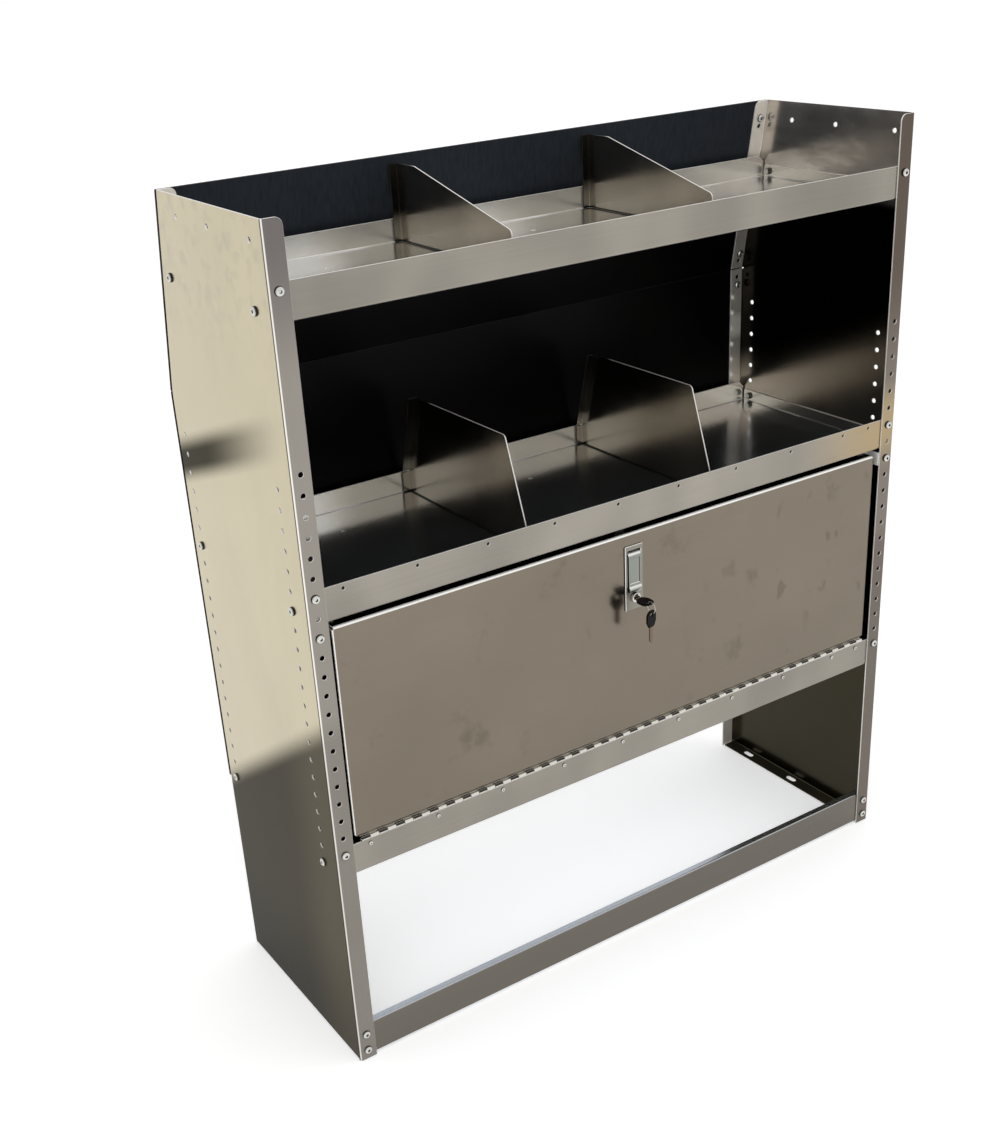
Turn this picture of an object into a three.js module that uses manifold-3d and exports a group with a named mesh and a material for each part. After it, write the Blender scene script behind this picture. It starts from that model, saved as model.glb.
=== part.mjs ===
// Van shelving unit: two folded end panels, two open shelves with dividers, and a cabinet
// bay whose drop-down door hangs on a piano hinge and carries a key lock and a pull lever.
// Millimetres, +Z up, +X to the right seen from the front, front towards -Y.

import * as THREE from 'three';
import { mergeVertices } from 'three/addons/utils/BufferGeometryUtils.js';
import Module from 'manifold-3d';

const wasm = await Module();
wasm.setup();

// Driving dimensions of the whole unit
const unit_width = 965.2;
const unit_depth = 330.2;
const unit_height = 1117.6;
const bend_height = 863.6;
const lean_setback = 48;

// Sheet metal
const sheet = 2;
const bend_radius = 4;
const seat_gap = 0.2;
const run_gap = 0.4;
const corner_relief = 1.5;
const cut_overrun = 6;
const fold_lap = 2;
const bend_steps = 2;
const corner_steps = 4;
const small_end_steps = 4;
const large_end_steps = 6;

// End panels
const flange_width = 25.4;
const flange_corner_radius = 9;
const seam_width = 1.6;
const hole_pitch = 25.4;
const hole_count = 21;
const hole_radius = 3.5;
const hole_sides = 5;
const flange_hole_inset = 12.7;
const flange_top_hole_height = 838.2;
const web_row_drop = 25.4;
const web_front_row_inset = 40;
const web_rear_row_inset = 25.4;
const wall_hole_drop = 25.4;
const wall_hole_insets = [33, 143, 230];
const rear_screw_inset = 25.4;
const rear_spare_pitch = 12.7;
const base_slot_inset = 12.7;
const base_slot_pitch = 108;
const base_slot_length = 20;
const base_slot_width = 8;
const base_slot_steps = [-1, 0, 1];

// Shelf trays
const front_lip_height = 44.45;
const rear_lip_height = 31.75;
const end_flange_height = 19;
const rear_lip_chamfer = 9;
const lip_screw_rise = 34.9;
const end_screw_rise = 9.5;
const top_tray_screw_drop = 76.2;
const hole_count_above_middle_tray = 6;
const hole_count_above_door_stop = 8;
const hole_count_above_cabinet_floor = 20;
const tray_rear_gap = 8;
const top_tray_rear_screw_inset = 12.7;
const lip_hole_pitch = 101.6;
const lip_hole_end_inset = 12.7;
const lip_hole_drop = 6.75;
const lip_hole_radius = 2.3;
const floor_hole_radius = 3;
const floor_hole_rear_inset = 79;
const floor_hole_share = 0.318;

// Dividers
const divider_sheet = 1.6;
const divider_bend_radius = 2.4;
const divider_flange_width = 12;
const divider_corner_radius = 7;
const divider_rear_gap = 1.6;
const divider_left_share = -0.1632;
const divider_right_share = 0.1539;
const top_divider_height = 98;
const top_divider_nose_height = 46;
const top_divider_crest_length = 46;
const top_divider_front_inset = 21;
const middle_divider_height = 145;
const middle_divider_heel_height = 30;
const middle_divider_lean = 34;
const middle_divider_crest_length = 220;
const middle_divider_toe_gap = 8;

// Bottom rail
const rail_height = 50;
const rail_lift = 5;
const rail_flange_width = 12;
const rail_upper_screw_rise = 36;
const rail_lower_screw_rise = 9.6;

// Back sheets
const back_sheet = 3;

// Door pan
const door_sheet = 1.6;
const door_bend_radius = 3;
const door_setback = 5.6;
const door_side_gap = 5.4;
const door_top_gap = 9.4;
const door_pan_depth = 20;

// Piano hinge
const hinge_knuckle_radius = 2.8;
const hinge_bore_radius = 1.6;
const hinge_pin_radius = 1.1;
const hinge_leaf = 1.2;
const hinge_lift = 0.45;
const hinge_period = 25.4;
const hinge_knuckle_gap = 0.5;
const hinge_leaf_width = 24;
const hinge_door_leaf_width = 19;
const hinge_sides = 6;
const hinge_bore_sides = 5;

// Door stops
const stop_height = 20;
const stop_base_length = 19;
const stop_tab_length = 19;
const stop_bend_radius = 3;

// Latch housing and pull lever
const latch_top_inset = 17.5;
const bezel_width = 30;
const bezel_height = 94;
const bezel_thickness = 2;
const bezel_edge = 0.6;
const case_width = 27;
const case_end_inset = 4;
const case_depth = 18.5;
const pocket_width = 22.4;
const pocket_depth = 12;
const pocket_top_inset = 6.7;
const pocket_height = 60.5;
const lever_width = 21.2;
const lever_face_rise = 3.7;
const lever_thickness = 3.2;
const lever_reach = 51;
const lever_lip = 2.6;
const lever_lip_height = 7;
const lever_barrel_radius = 3.5;
const lever_bore_radius = 1.8;
const lever_pivot_depth = 2;
const lever_pivot_inset = 13;
const lever_panel_depth = 0.6;
const lever_panel_border = 2.4;
const lever_panel_top_inset = 4.8;
const lever_pin_radius = 1.4;
const lever_pin_length = 25.6;
const lever_sides = 8;

// Lock, cam and bolt
const lock_drop = 75;
const lock_sides = 12;
const lock_collar_radius = 7;
const lock_collar_edge = 0.8;
const lock_plug_radius = 5.8;
const lock_bore_radius = 6.2;
const lock_stud_radius = 4;
const lock_face_rise = 7.8;
const keyway_width = 8.8;
const keyway_height = 2.8;
const keyway_depth = 23;
const cam_thickness = 2.4;
const cam_hub_radius = 8;
const cam_tip_radius = 4.4;
const cam_throw = 14;
const cam_bore_radius = 4.4;
const cam_pin_radius = 2;
const nut_height = 4;
const nut_radius = 6.5;
const nut_sides = 6;
const stud_end = 0.6;
const bolt_bar_gap = 1;
const bolt_bar = 2;
const bolt_bar_width = 13;
const bolt_top_inset = 5;
const bolt_foot_margin = 4.4;
const bolt_slot_play = 3.2;
const guide_height = 16;
const guide_wall = 4;
const guide_drop = 28;
const strike_play = 1.8;

// Keys and ring
const bow_length = 24;
const bow_width = 20;
const bow_thickness = 3;
const bow_hole_radius = 3.1;
const bow_hole_inset = 5.6;
const bow_hole_sides = 8;
const bow_shoulder_width = 11;
const bow_cheek_share = 0.33;
const bow_cheek_radius = 5;
const bow_end_radius = 8;
const blade_length = 24;
const blade_width = 8;
const blade_thickness = 2;
const blade_notch = 1.3;
const blade_notch_count = 4;
const key_neck = 4;
const ring_radius = 8;
const ring_wire_radius = 0.8;
const ring_inboard_share = 0.85;
const ring_wire_sides = 5;
const ring_steps = 16;
const spare_key_yaw = Math.PI / 11;

// Screws with their nuts
const screw_head_radius = 5.8;
const screw_head_height = 3.3;
const screw_crown_radius = 3.4;
const screw_socket_radius = 2.1;
const screw_socket_depth = 1.9;
const screw_shank_radius = 2.6;
const screw_nut_radius = 5.6;
const screw_nut_height = 4.2;
const screw_sides = 7;

// Places worked out from the sizes above
const half_width = unit_width / 2;
const front_y = -unit_depth / 2;
const rear_y = unit_depth / 2;
const lean_rise = unit_height - bend_height;
const lean_angle = Math.atan2(lean_setback, lean_rise);
const lean_length = Math.hypot(lean_setback, lean_rise);
const inner_x = half_width - sheet - seat_gap;
const lip_x = inner_x - corner_relief;
const lip_front_y = front_y + sheet + seat_gap;
const lip_rear_y = lip_front_y + sheet;
const flange_hole_x = half_width - flange_hole_inset;
const web_top_hole_height = flange_top_hole_height - web_row_drop;

const flangeHoleHeight = (step) => flange_top_hole_height - step * hole_pitch;
const rearLineY = (height) => rear_y - lean_setback * Math.max(0, height - bend_height) / lean_rise;

const tray_base = {
  top_shelf: unit_height - top_tray_screw_drop - lip_screw_rise,
  middle_shelf: flangeHoleHeight(hole_count_above_middle_tray) - lip_screw_rise,
  cabinet_floor: flangeHoleHeight(hole_count_above_cabinet_floor) - lip_screw_rise,
};
const trayDepth = (base) => rearLineY(base + rear_lip_height) - sheet - tray_rear_gap - lip_front_y;
const top_tray_depth = trayDepth(tray_base.top_shelf);
const tray_depth = trayDepth(tray_base.middle_shelf);
const depth_of_tray = {
  top_shelf: top_tray_depth,
  middle_shelf: tray_depth,
  cabinet_floor: tray_depth,
};
const web_rear_row_y = rear_y - web_rear_row_inset;
const rear_screw_of_tray = {
  top_shelf: lip_front_y + top_tray_depth - top_tray_rear_screw_inset,
  middle_shelf: web_rear_row_y,
  cabinet_floor: web_rear_row_y,
};
const web_front_row_y = front_y + web_front_row_inset;

const hinge_z = tray_base.cabinet_floor + front_lip_height + hinge_lift + hinge_knuckle_radius;
const hinge_y = lip_rear_y + seat_gap + hinge_leaf - hinge_knuckle_radius;

const door_half_width = half_width - flange_width - door_side_gap;
const hinge_period_count = Math.floor(2 * door_half_width / hinge_period);
const hinge_half_length = hinge_period * hinge_period_count / 2;
const lip_hole_end = hinge_half_length - lip_hole_end_inset;

// The lip's holes start near the hinge's left end, one pitch apart, and the last is near its right
const lip_hole_steps = Math.floor(2 * lip_hole_end / lip_hole_pitch);
const lip_hole_places = [
  ...Array.from({ length: lip_hole_steps + 1 }, (_, step) => step * lip_hole_pitch - lip_hole_end),
  lip_hole_end,
];

const door_face_y = front_y + door_setback;
const door_rear_y = door_face_y + door_pan_depth;
const door_base = hinge_z + hinge_knuckle_radius + seat_gap;
const door_top = tray_base.middle_shelf - door_top_gap;

const bezel_top = door_top - latch_top_inset;
const bezel_base = bezel_top - bezel_height;
const bezel_front_y = door_face_y - seat_gap - bezel_thickness;
const case_rear_y = door_face_y + case_depth;
const lever_pivot_y = door_face_y + lever_pivot_depth;
const lever_pivot_z = bezel_top - lever_pivot_inset;
const lock_z = bezel_top - lock_drop;
const lock_face_y = door_face_y - lock_face_rise;
const cam_front_y = case_rear_y + seat_gap;
const cam_rear_y = cam_front_y + cam_thickness;
const nut_front_y = cam_rear_y + seat_gap;
const nut_rear_y = nut_front_y + nut_height;
const stud_rear_y = nut_rear_y + stud_end;
const bolt_front_y = stud_rear_y + bolt_bar_gap;
const bolt_rear_y = bolt_front_y + bolt_bar;

const key_shoulder_y = lock_face_y - key_neck;
const bow_end_y = key_shoulder_y - bow_length;
const bow_hole_y = bow_end_y + bow_hole_inset;
const ring_inboard = ring_radius * ring_inboard_share;
const ring_y = bow_hole_y - ring_inboard;
const ring_z = lock_z - Math.sqrt(ring_radius ** 2 - ring_inboard ** 2);
const spare_wire_z = ring_z - ring_radius;

const rear_screw_grip = sheet + seat_gap + back_sheet;
const front_reach = ring_y - ring_radius - ring_wire_radius;
const rear_reach = rear_y + seat_gap + back_sheet + seat_gap + screw_nut_height;

// Turns a closed three.js geometry into a solid for joining and cutting
function solidOf(geometry) {
  const bare = geometry.clone();
  bare.deleteAttribute('normal');
  bare.deleteAttribute('uv');
  const merged = mergeVertices(bare);
  return new wasm.Manifold(new wasm.Mesh({
    numProp: 3,
    vertProperties: new Float32Array(merged.attributes.position.array),
    triVerts: new Uint32Array(merged.index.array),
  }));
}

// Turns a solid back into a three.js geometry
function geometryOf(solid) {
  const mesh = solid.getMesh();
  const geometry = new THREE.BufferGeometry();
  const corners = new Float32Array(mesh.vertProperties);
  geometry.setAttribute('position', new THREE.BufferAttribute(corners, 3));
  geometry.setIndex(new THREE.BufferAttribute(new Uint32Array(mesh.triVerts), 1));
  return geometry;
}

const joined = (solids) => solids.reduce((whole, part) => whole.add(part));
const cutBy = (solid, cutters) => solid.subtract(joined(cutters));

// The same geometry mirrored left to right, with its faces still pointing out
function mirroredX(geometry) {
  const mirrored = geometry.clone();
  mirrored.scale(-1, 1, 1);
  const index = mirrored.index.array;
  for (let corner = 0; corner < index.length; corner += 3) {
    const kept = index[corner];
    index[corner] = index[corner + 1];
    index[corner + 1] = kept;
  }
  return mirrored;
}

const unit_x = new THREE.Vector3(1, 0, 0);
const unit_y = new THREE.Vector3(0, 1, 0);
const unit_z = new THREE.Vector3(0, 0, 1);

// Extrudes an outline along an axis. The outline is (y, z) for X, (x, z) for Y and (x, y) for Z
function extruded(axis, outline, from, to) {
  const shape = new THREE.Shape(outline);
  const geometry = new THREE.ExtrudeGeometry(shape, { depth: to - from, bevelEnabled: false });
  if (axis === 'x') {
    geometry.applyMatrix4(new THREE.Matrix4().makeBasis(unit_y, unit_z, unit_x));
    geometry.translate(from, 0, 0);
  }
  if (axis === 'y') {
    geometry.applyMatrix4(new THREE.Matrix4().makeBasis(unit_x, unit_z, unit_y.clone().negate()));
    geometry.translate(0, to, 0);
  }
  if (axis === 'z') {
    geometry.translate(0, 0, from);
  }
  return solidOf(geometry);
}

function block(low_x, high_x, low_y, high_y, low_z, high_z) {
  const geometry = new THREE.BoxGeometry(high_x - low_x, high_y - low_y, high_z - low_z);
  geometry.translate((low_x + high_x) / 2, (low_y + high_y) / 2, (low_z + high_z) / 2);
  return solidOf(geometry);
}

// A round bar along an axis, between two places on it and centred on the other two coordinates
function bar(axis, radius, from, to, across, up, sides) {
  const geometry = new THREE.CylinderGeometry(radius, radius, to - from, sides);
  const middle = (from + to) / 2;
  if (axis === 'x') {
    geometry.rotateZ(-Math.PI / 2);
    geometry.translate(middle, across, up);
  }
  if (axis === 'y') {
    geometry.translate(across, middle, up);
  }
  if (axis === 'z') {
    geometry.rotateX(Math.PI / 2);
    geometry.translate(across, up, middle);
  }
  return solidOf(geometry);
}

const point = (a, b) => new THREE.Vector2(a, b);

// Points on an arc about a centre, from one angle to another
function arcPoints(centre, radius, start, sweep, steps) {
  const points = [];
  for (let step = 0; step <= steps; step += 1) {
    const angle = start + sweep * step / steps;
    points.push(point(centre.x + radius * Math.cos(angle), centre.y + radius * Math.sin(angle)));
  }
  return points;
}

// Section of a folded sheet: the path follows one face, the metal lies to its left, and each
// corner is a bend with the given outer radius
function foldedSection(path, thickness, outer_radius) {
  const near_side = [];
  const far_side = [];
  const leftOf = (direction) => point(-direction.y, direction.x);
  const first = path[1].clone().sub(path[0]).normalize();
  near_side.push(path[0].clone());
  far_side.push(path[0].clone().addScaledVector(leftOf(first), thickness));
  for (let corner = 1; corner < path.length - 1; corner += 1) {
    const before = path[corner].clone().sub(path[corner - 1]).normalize();
    const after = path[corner + 1].clone().sub(path[corner]).normalize();
    const turn = Math.atan2(before.cross(after), before.dot(after));
    const side = Math.sign(turn);
    const near_radius = side > 0 ? outer_radius : outer_radius - thickness;
    const far_radius = side > 0 ? outer_radius - thickness : outer_radius;
    const back_off = near_radius * Math.tan(Math.abs(turn) / 2);
    const centre = path[corner].clone().addScaledVector(before, -back_off);
    centre.addScaledVector(leftOf(before), side * near_radius);
    const start = leftOf(before).multiplyScalar(-side);
    const start_angle = Math.atan2(start.y, start.x);
    near_side.push(...arcPoints(centre, near_radius, start_angle, turn, bend_steps));
    far_side.push(...arcPoints(centre, far_radius, start_angle, turn, bend_steps));
  }
  const end = path[path.length - 1];
  const last = end.clone().sub(path[path.length - 2]).normalize();
  near_side.push(end.clone());
  far_side.push(end.clone().addScaledVector(leftOf(last), thickness));
  return [...near_side, ...far_side.reverse()];
}

// A closed outline whose listed corners are rounded, given as { at, radius }
function roundedOutline(corners) {
  const points = [];
  corners.forEach((corner, place) => {
    if (!corner.radius) {
      points.push(corner.at.clone());
      return;
    }
    const previous = corners[(place + corners.length - 1) % corners.length].at;
    const next = corners[(place + 1) % corners.length].at;
    const before = corner.at.clone().sub(previous).normalize();
    const after = next.clone().sub(corner.at).normalize();
    const turn = Math.atan2(before.cross(after), before.dot(after));
    const side = Math.sign(turn);
    const back_off = corner.radius * Math.tan(Math.abs(turn) / 2);
    const inward = point(-before.y, before.x).multiplyScalar(side);
    const centre = corner.at.clone().addScaledVector(before, -back_off);
    centre.addScaledVector(inward, corner.radius);
    const start_angle = Math.atan2(-inward.y, -inward.x);
    points.push(...arcPoints(centre, corner.radius, start_angle, turn, corner_steps));
  });
  return points;
}

// The cutter that rounds the free corner at the top of a flange, as an (x, z) outline
function cornerCutter(edge_x, top_z, radius) {
  const centre = point(edge_x - radius, top_z - radius);
  const arc = arcPoints(centre, radius, Math.PI / 2, -Math.PI / 2, corner_steps);
  return [
    point(edge_x - radius, top_z + cut_overrun),
    ...arc,
    point(edge_x + cut_overrun, top_z - radius),
    point(edge_x + cut_overrun, top_z + cut_overrun),
  ];
}

// Moves a solid built upright at the rear bend so that it leans with the upper rear edge
function leaned(solid) {
  const geometry = geometryOf(solid);
  geometry.rotateX(lean_angle);
  geometry.translate(0, rear_y, bend_height);
  return solidOf(geometry);
}

// Distances from the bend, along the rear flanges, of the screws and of the spare holes
const upper_rear_screws = { seam: rear_screw_inset, top: lean_length - rear_screw_inset };
const lower_rear_screws = {
  seam: rear_screw_inset,
  base: bend_height - tray_base.cabinet_floor - rear_screw_inset,
};

// Heights of the screws that pass through each front flange
const rail_front_screws = {
  rail_upper: rail_lift + rail_upper_screw_rise,
  rail_lower: rail_lift + rail_lower_screw_rise,
};
const front_screws = {
  top_shelf: tray_base.top_shelf + lip_screw_rise,
  middle_shelf: tray_base.middle_shelf + lip_screw_rise,
  door_stop: flangeHoleHeight(hole_count_above_door_stop),
  cabinet_floor: tray_base.cabinet_floor + lip_screw_rise,
  ...rail_front_screws,
};

// Left end panel: web, front flange, two rear flanges that meet at a seam, and a base flange
function endPanel() {
  const corner_x = -half_width;
  const fold_end = bend_radius + fold_lap;
  const edge_x = corner_x + flange_width;
  const front_section = foldedSection(
    [point(corner_x, front_y + fold_end), point(corner_x, front_y), point(edge_x, front_y)],
    sheet, bend_radius);
  const rear_section = foldedSection(
    [point(edge_x, rear_y), point(corner_x, rear_y), point(corner_x, rear_y - fold_end)],
    sheet, bend_radius);
  const leaning_section = foldedSection(
    [point(edge_x, 0), point(corner_x, 0), point(corner_x, -fold_end)],
    sheet, bend_radius);
  const base_section = foldedSection(
    [point(corner_x, fold_end), point(corner_x, 0), point(edge_x, 0)],
    sheet, bend_radius);
  const web_outline = [
    point(front_y + bend_radius, bend_radius),
    point(rear_y - bend_radius, bend_radius),
    point(rear_y - bend_radius, bend_height),
    point(rear_y - lean_setback - bend_radius, unit_height),
    point(front_y + bend_radius, unit_height),
  ];
  const upper_flange = leaned(extruded('z', leaning_section, 0, lean_length + cut_overrun));
  const panel = joined([
    extruded('x', web_outline, corner_x, corner_x + sheet),
    extruded('z', front_section, 0, unit_height),
    extruded('z', rear_section, 0, bend_height),
    extruded('y', base_section, front_y + bend_radius, rear_y - bend_radius),
    upper_flange,
  ]);

  const cutters = [];
  const above = unit_height + flange_width;
  cutters.push(block(corner_x - cut_overrun, edge_x + cut_overrun,
    front_y - cut_overrun, rear_y + cut_overrun, unit_height, above));
  const flange_corner = cornerCutter(edge_x, unit_height, flange_corner_radius);
  cutters.push(extruded('y', flange_corner, front_y - cut_overrun, front_y + cut_overrun));
  const rear_top_y = rear_y - lean_setback;
  cutters.push(extruded('y', flange_corner, rear_top_y - cut_overrun, rear_top_y + cut_overrun));
  cutters.push(block(corner_x + bend_radius, edge_x + cut_overrun, rear_y - cut_overrun,
    rear_y + cut_overrun, bend_height - seam_width / 2, bend_height + seam_width / 2));

  // Holes along the front flange, and the screw holes above and below the row
  const flange_x = -flange_hole_x;
  const flange_heights = Array.from({ length: hole_count }, (_, step) => flangeHoleHeight(step));
  flange_heights.push(front_screws.top_shelf, front_screws.rail_upper, front_screws.rail_lower);
  for (const height of flange_heights) {
    cutters.push(bar('y', hole_radius, front_y - cut_overrun, front_y + cut_overrun,
      flange_x, height, hole_sides));
  }

  // Two rows of holes in the web, the top shelf's screws, and three holes for a wall bracket
  const web_holes = [];
  for (let step = 0; step < hole_count; step += 1) {
    const height = web_top_hole_height - step * hole_pitch;
    web_holes.push(point(web_front_row_y, height), point(web_rear_row_y, height));
  }
  const top_screw_height = tray_base.top_shelf + end_screw_rise;
  web_holes.push(point(web_front_row_y, top_screw_height));
  web_holes.push(point(rear_screw_of_tray.top_shelf, top_screw_height));
  for (const inset of wall_hole_insets) {
    web_holes.push(point(front_y + inset, unit_height - wall_hole_drop));
  }
  for (const hole of web_holes) {
    cutters.push(bar('x', hole_radius, corner_x - cut_overrun, corner_x + cut_overrun,
      hole.x, hole.y, hole_sides));
  }

  // Screw holes and spare holes in both rear flanges
  const lower_spares = [rear_spare_pitch];
  const upper_spares = [rear_spare_pitch, upper_rear_screws.top - rear_spare_pitch];
  for (const distance of [...Object.values(lower_rear_screws), ...lower_spares]) {
    cutters.push(bar('y', hole_radius, rear_y - cut_overrun, rear_y + cut_overrun,
      flange_x, bend_height - distance, hole_sides));
  }
  for (const distance of [...Object.values(upper_rear_screws), ...upper_spares]) {
    cutters.push(leaned(bar('y', hole_radius, -cut_overrun, cut_overrun,
      flange_x, distance, hole_sides)));
  }

  // Slots in the base flange
  const slot_half = base_slot_length / 2 - base_slot_width / 2;
  const slot_x = corner_x + base_slot_inset;
  for (const step of base_slot_steps) {
    const slot_y = step * base_slot_pitch;
    const rear_end = point(slot_x, slot_y + slot_half);
    const front_end = point(slot_x, slot_y - slot_half);
    const outline = [
      ...arcPoints(rear_end, base_slot_width / 2, 0, Math.PI, small_end_steps),
      ...arcPoints(front_end, base_slot_width / 2, Math.PI, Math.PI, small_end_steps),
    ];
    cutters.push(extruded('z', outline, -cut_overrun, sheet + cut_overrun));
  }
  return geometryOf(cutBy(panel, cutters));
}

// Shelf tray: a floor with a tall front lip, a lower rear lip and a flange at each end
function shelfTray(base, depth, rear_screw_y, has_hinge_holes, extra_cutters) {
  const rear = lip_front_y + depth;
  const floor_top = base + sheet;
  const long_section = foldedSection([
    point(lip_front_y, base + front_lip_height),
    point(lip_front_y, base),
    point(rear, base),
    point(rear, base + rear_lip_height),
  ], sheet, bend_radius);
  const end_section = foldedSection([
    point(-inner_x, base + end_flange_height),
    point(-inner_x, base),
    point(-inner_x + bend_radius + fold_lap, base),
  ], sheet, bend_radius);
  const end_front = lip_front_y + bend_radius + run_gap;
  const end_rear = rear - bend_radius - run_gap;
  const floor_trims = [-1, 1].map((side) => {
    const inside = side * (inner_x - bend_radius);
    const outside = side * (inner_x + cut_overrun);
    return block(Math.min(inside, outside), Math.max(inside, outside),
      lip_front_y + bend_radius, rear - bend_radius,
      base - cut_overrun, floor_top + cut_overrun);
  });
  const end_flange = extruded('y', end_section, end_front, end_rear);
  const far_flange = solidOf(mirroredX(geometryOf(end_flange)));
  const trough = cutBy(extruded('x', long_section, -lip_x, lip_x), floor_trims);
  const tray = joined([trough, end_flange, far_flange]);

  const cutters = [...extra_cutters];
  for (const side of [-1, 1]) {
    cutters.push(bar('y', hole_radius, lip_front_y - cut_overrun, lip_rear_y + run_gap,
      side * flange_hole_x, base + lip_screw_rise, hole_sides));
    for (const place of [web_front_row_y, rear_screw_y]) {
      const outside = side * (inner_x + cut_overrun);
      const inside = side * (inner_x - cut_overrun);
      cutters.push(bar('x', hole_radius, Math.min(outside, inside), Math.max(outside, inside),
        place, base + end_screw_rise, hole_sides));
    }
    const lip_end = side * lip_x;
    const lip_top = base + rear_lip_height;
    const chamfer = [
      point(lip_end + side * cut_overrun, lip_top - rear_lip_chamfer),
      point(lip_end, lip_top - rear_lip_chamfer),
      point(lip_end - side * rear_lip_chamfer, lip_top),
      point(lip_end - side * rear_lip_chamfer, lip_top + cut_overrun),
      point(lip_end + side * cut_overrun, lip_top + cut_overrun),
    ];
    cutters.push(extruded('y', chamfer, rear - sheet - cut_overrun, rear + cut_overrun));
  }
  if (has_hinge_holes) {
    for (const place of lip_hole_places) {
      cutters.push(bar('y', lip_hole_radius, lip_front_y - cut_overrun, lip_rear_y + run_gap,
        place, base + front_lip_height - lip_hole_drop, hole_sides));
    }
  }
  for (const share of [-floor_hole_share, 0, floor_hole_share]) {
    cutters.push(bar('z', floor_hole_radius, base - cut_overrun, floor_top + cut_overrun,
      share * unit_width, rear - floor_hole_rear_inset, hole_sides));
  }
  return geometryOf(cutBy(tray, cutters));
}

// A divider plate with the rear flange that is folded along its rear edge, towards -X
function divider(plane_x, plate_outline, rear_edge) {
  const plate = extruded('x', plate_outline, plane_x, plane_x + divider_sheet);
  const parts = [plate];
  for (let step = 0; step < rear_edge.length - 1; step += 1) {
    const start = rear_edge[step];
    const end = rear_edge[step + 1];
    const tilt = Math.atan2(start.x - end.x, end.y - start.y);
    const run = foldedSection([
      point(plane_x + divider_sheet, -divider_bend_radius - fold_lap),
      point(plane_x + divider_sheet, 0),
      point(plane_x + divider_sheet - divider_flange_width, 0),
    ], divider_sheet, divider_bend_radius);
    const geometry = geometryOf(extruded('z', run, 0, start.distanceTo(end)));
    geometry.rotateX(tilt);
    geometry.translate(0, start.x, start.y);
    parts.push(solidOf(geometry));
  }
  return geometryOf(joined(parts));
}

function topDivider(plane_x) {
  const floor = tray_base.top_shelf + sheet + seat_gap;
  const top = floor + top_divider_height;
  const rear = lip_front_y + top_tray_depth - sheet - divider_rear_gap;
  const front = lip_rear_y + top_divider_front_inset;
  const plate_rear = rear - divider_bend_radius;
  const outline = roundedOutline([
    { at: point(plate_rear, floor) },
    { at: point(plate_rear, top) },
    { at: point(rear - top_divider_crest_length, top), radius: divider_corner_radius },
    { at: point(front, floor + top_divider_nose_height), radius: divider_corner_radius },
    { at: point(front, floor) },
  ]);
  return divider(plane_x, outline, [point(rear, floor), point(rear, top)]);
}

function middleDivider(plane_x) {
  const floor = tray_base.middle_shelf + sheet + seat_gap;
  const top = floor + middle_divider_height;
  const rear = lip_front_y + tray_depth - sheet - divider_rear_gap;
  const heel = floor + middle_divider_heel_height;
  const crest_rear = rear - middle_divider_lean;
  const outline = roundedOutline([
    { at: point(rear - divider_bend_radius, floor) },
    { at: point(rear - divider_bend_radius, heel) },
    { at: point(crest_rear - divider_bend_radius, top) },
    { at: point(crest_rear - middle_divider_crest_length, top), radius: divider_corner_radius },
    { at: point(lip_rear_y + middle_divider_toe_gap, floor) },
  ]);
  return divider(plane_x, outline, [point(rear, floor), point(rear, heel), point(crest_rear, top)]);
}

// Bottom front rail, screwed on behind the flanges, with a narrow flange folded back at its top
function bottomRail() {
  const top = rail_lift + rail_height;
  const section = foldedSection([
    point(lip_front_y + rail_flange_width, top),
    point(lip_front_y, top),
    point(lip_front_y, rail_lift),
  ], sheet, bend_radius);
  const rail = extruded('x', section, -lip_x, lip_x);
  const cutters = [];
  for (const side of [-1, 1]) {
    for (const height of Object.values(rail_front_screws)) {
      cutters.push(bar('y', hole_radius, lip_front_y - cut_overrun, lip_rear_y + run_gap,
        side * flange_hole_x, height, hole_sides));
    }
  }
  return geometryOf(cutBy(rail, cutters));
}

// Black back sheets behind the rear flanges, drilled for the rear screws
function lowerBackSheet() {
  const front = rear_y + seat_gap;
  const plate = block(-half_width, half_width, front, front + back_sheet,
    tray_base.cabinet_floor, bend_height - seat_gap / 2);
  const cutters = [];
  for (const side of [-1, 1]) {
    for (const distance of Object.values(lower_rear_screws)) {
      cutters.push(bar('y', hole_radius, front - cut_overrun, front + cut_overrun,
        side * flange_hole_x, bend_height - distance, hole_sides));
    }
  }
  return geometryOf(cutBy(plate, cutters));
}

function upperBackSheet() {
  const outer_rise = (seat_gap + back_sheet) * Math.sin(lean_angle);
  const length = (lean_rise - outer_rise) / Math.cos(lean_angle);
  const plate = block(-half_width, half_width, seat_gap, seat_gap + back_sheet,
    seat_gap / 2, length);
  const cutters = [];
  for (const side of [-1, 1]) {
    for (const distance of Object.values(upper_rear_screws)) {
      cutters.push(bar('y', hole_radius, -cut_overrun, cut_overrun,
        side * flange_hole_x, distance, hole_sides));
    }
  }
  return geometryOf(leaned(cutBy(plate, cutters)));
}

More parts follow.
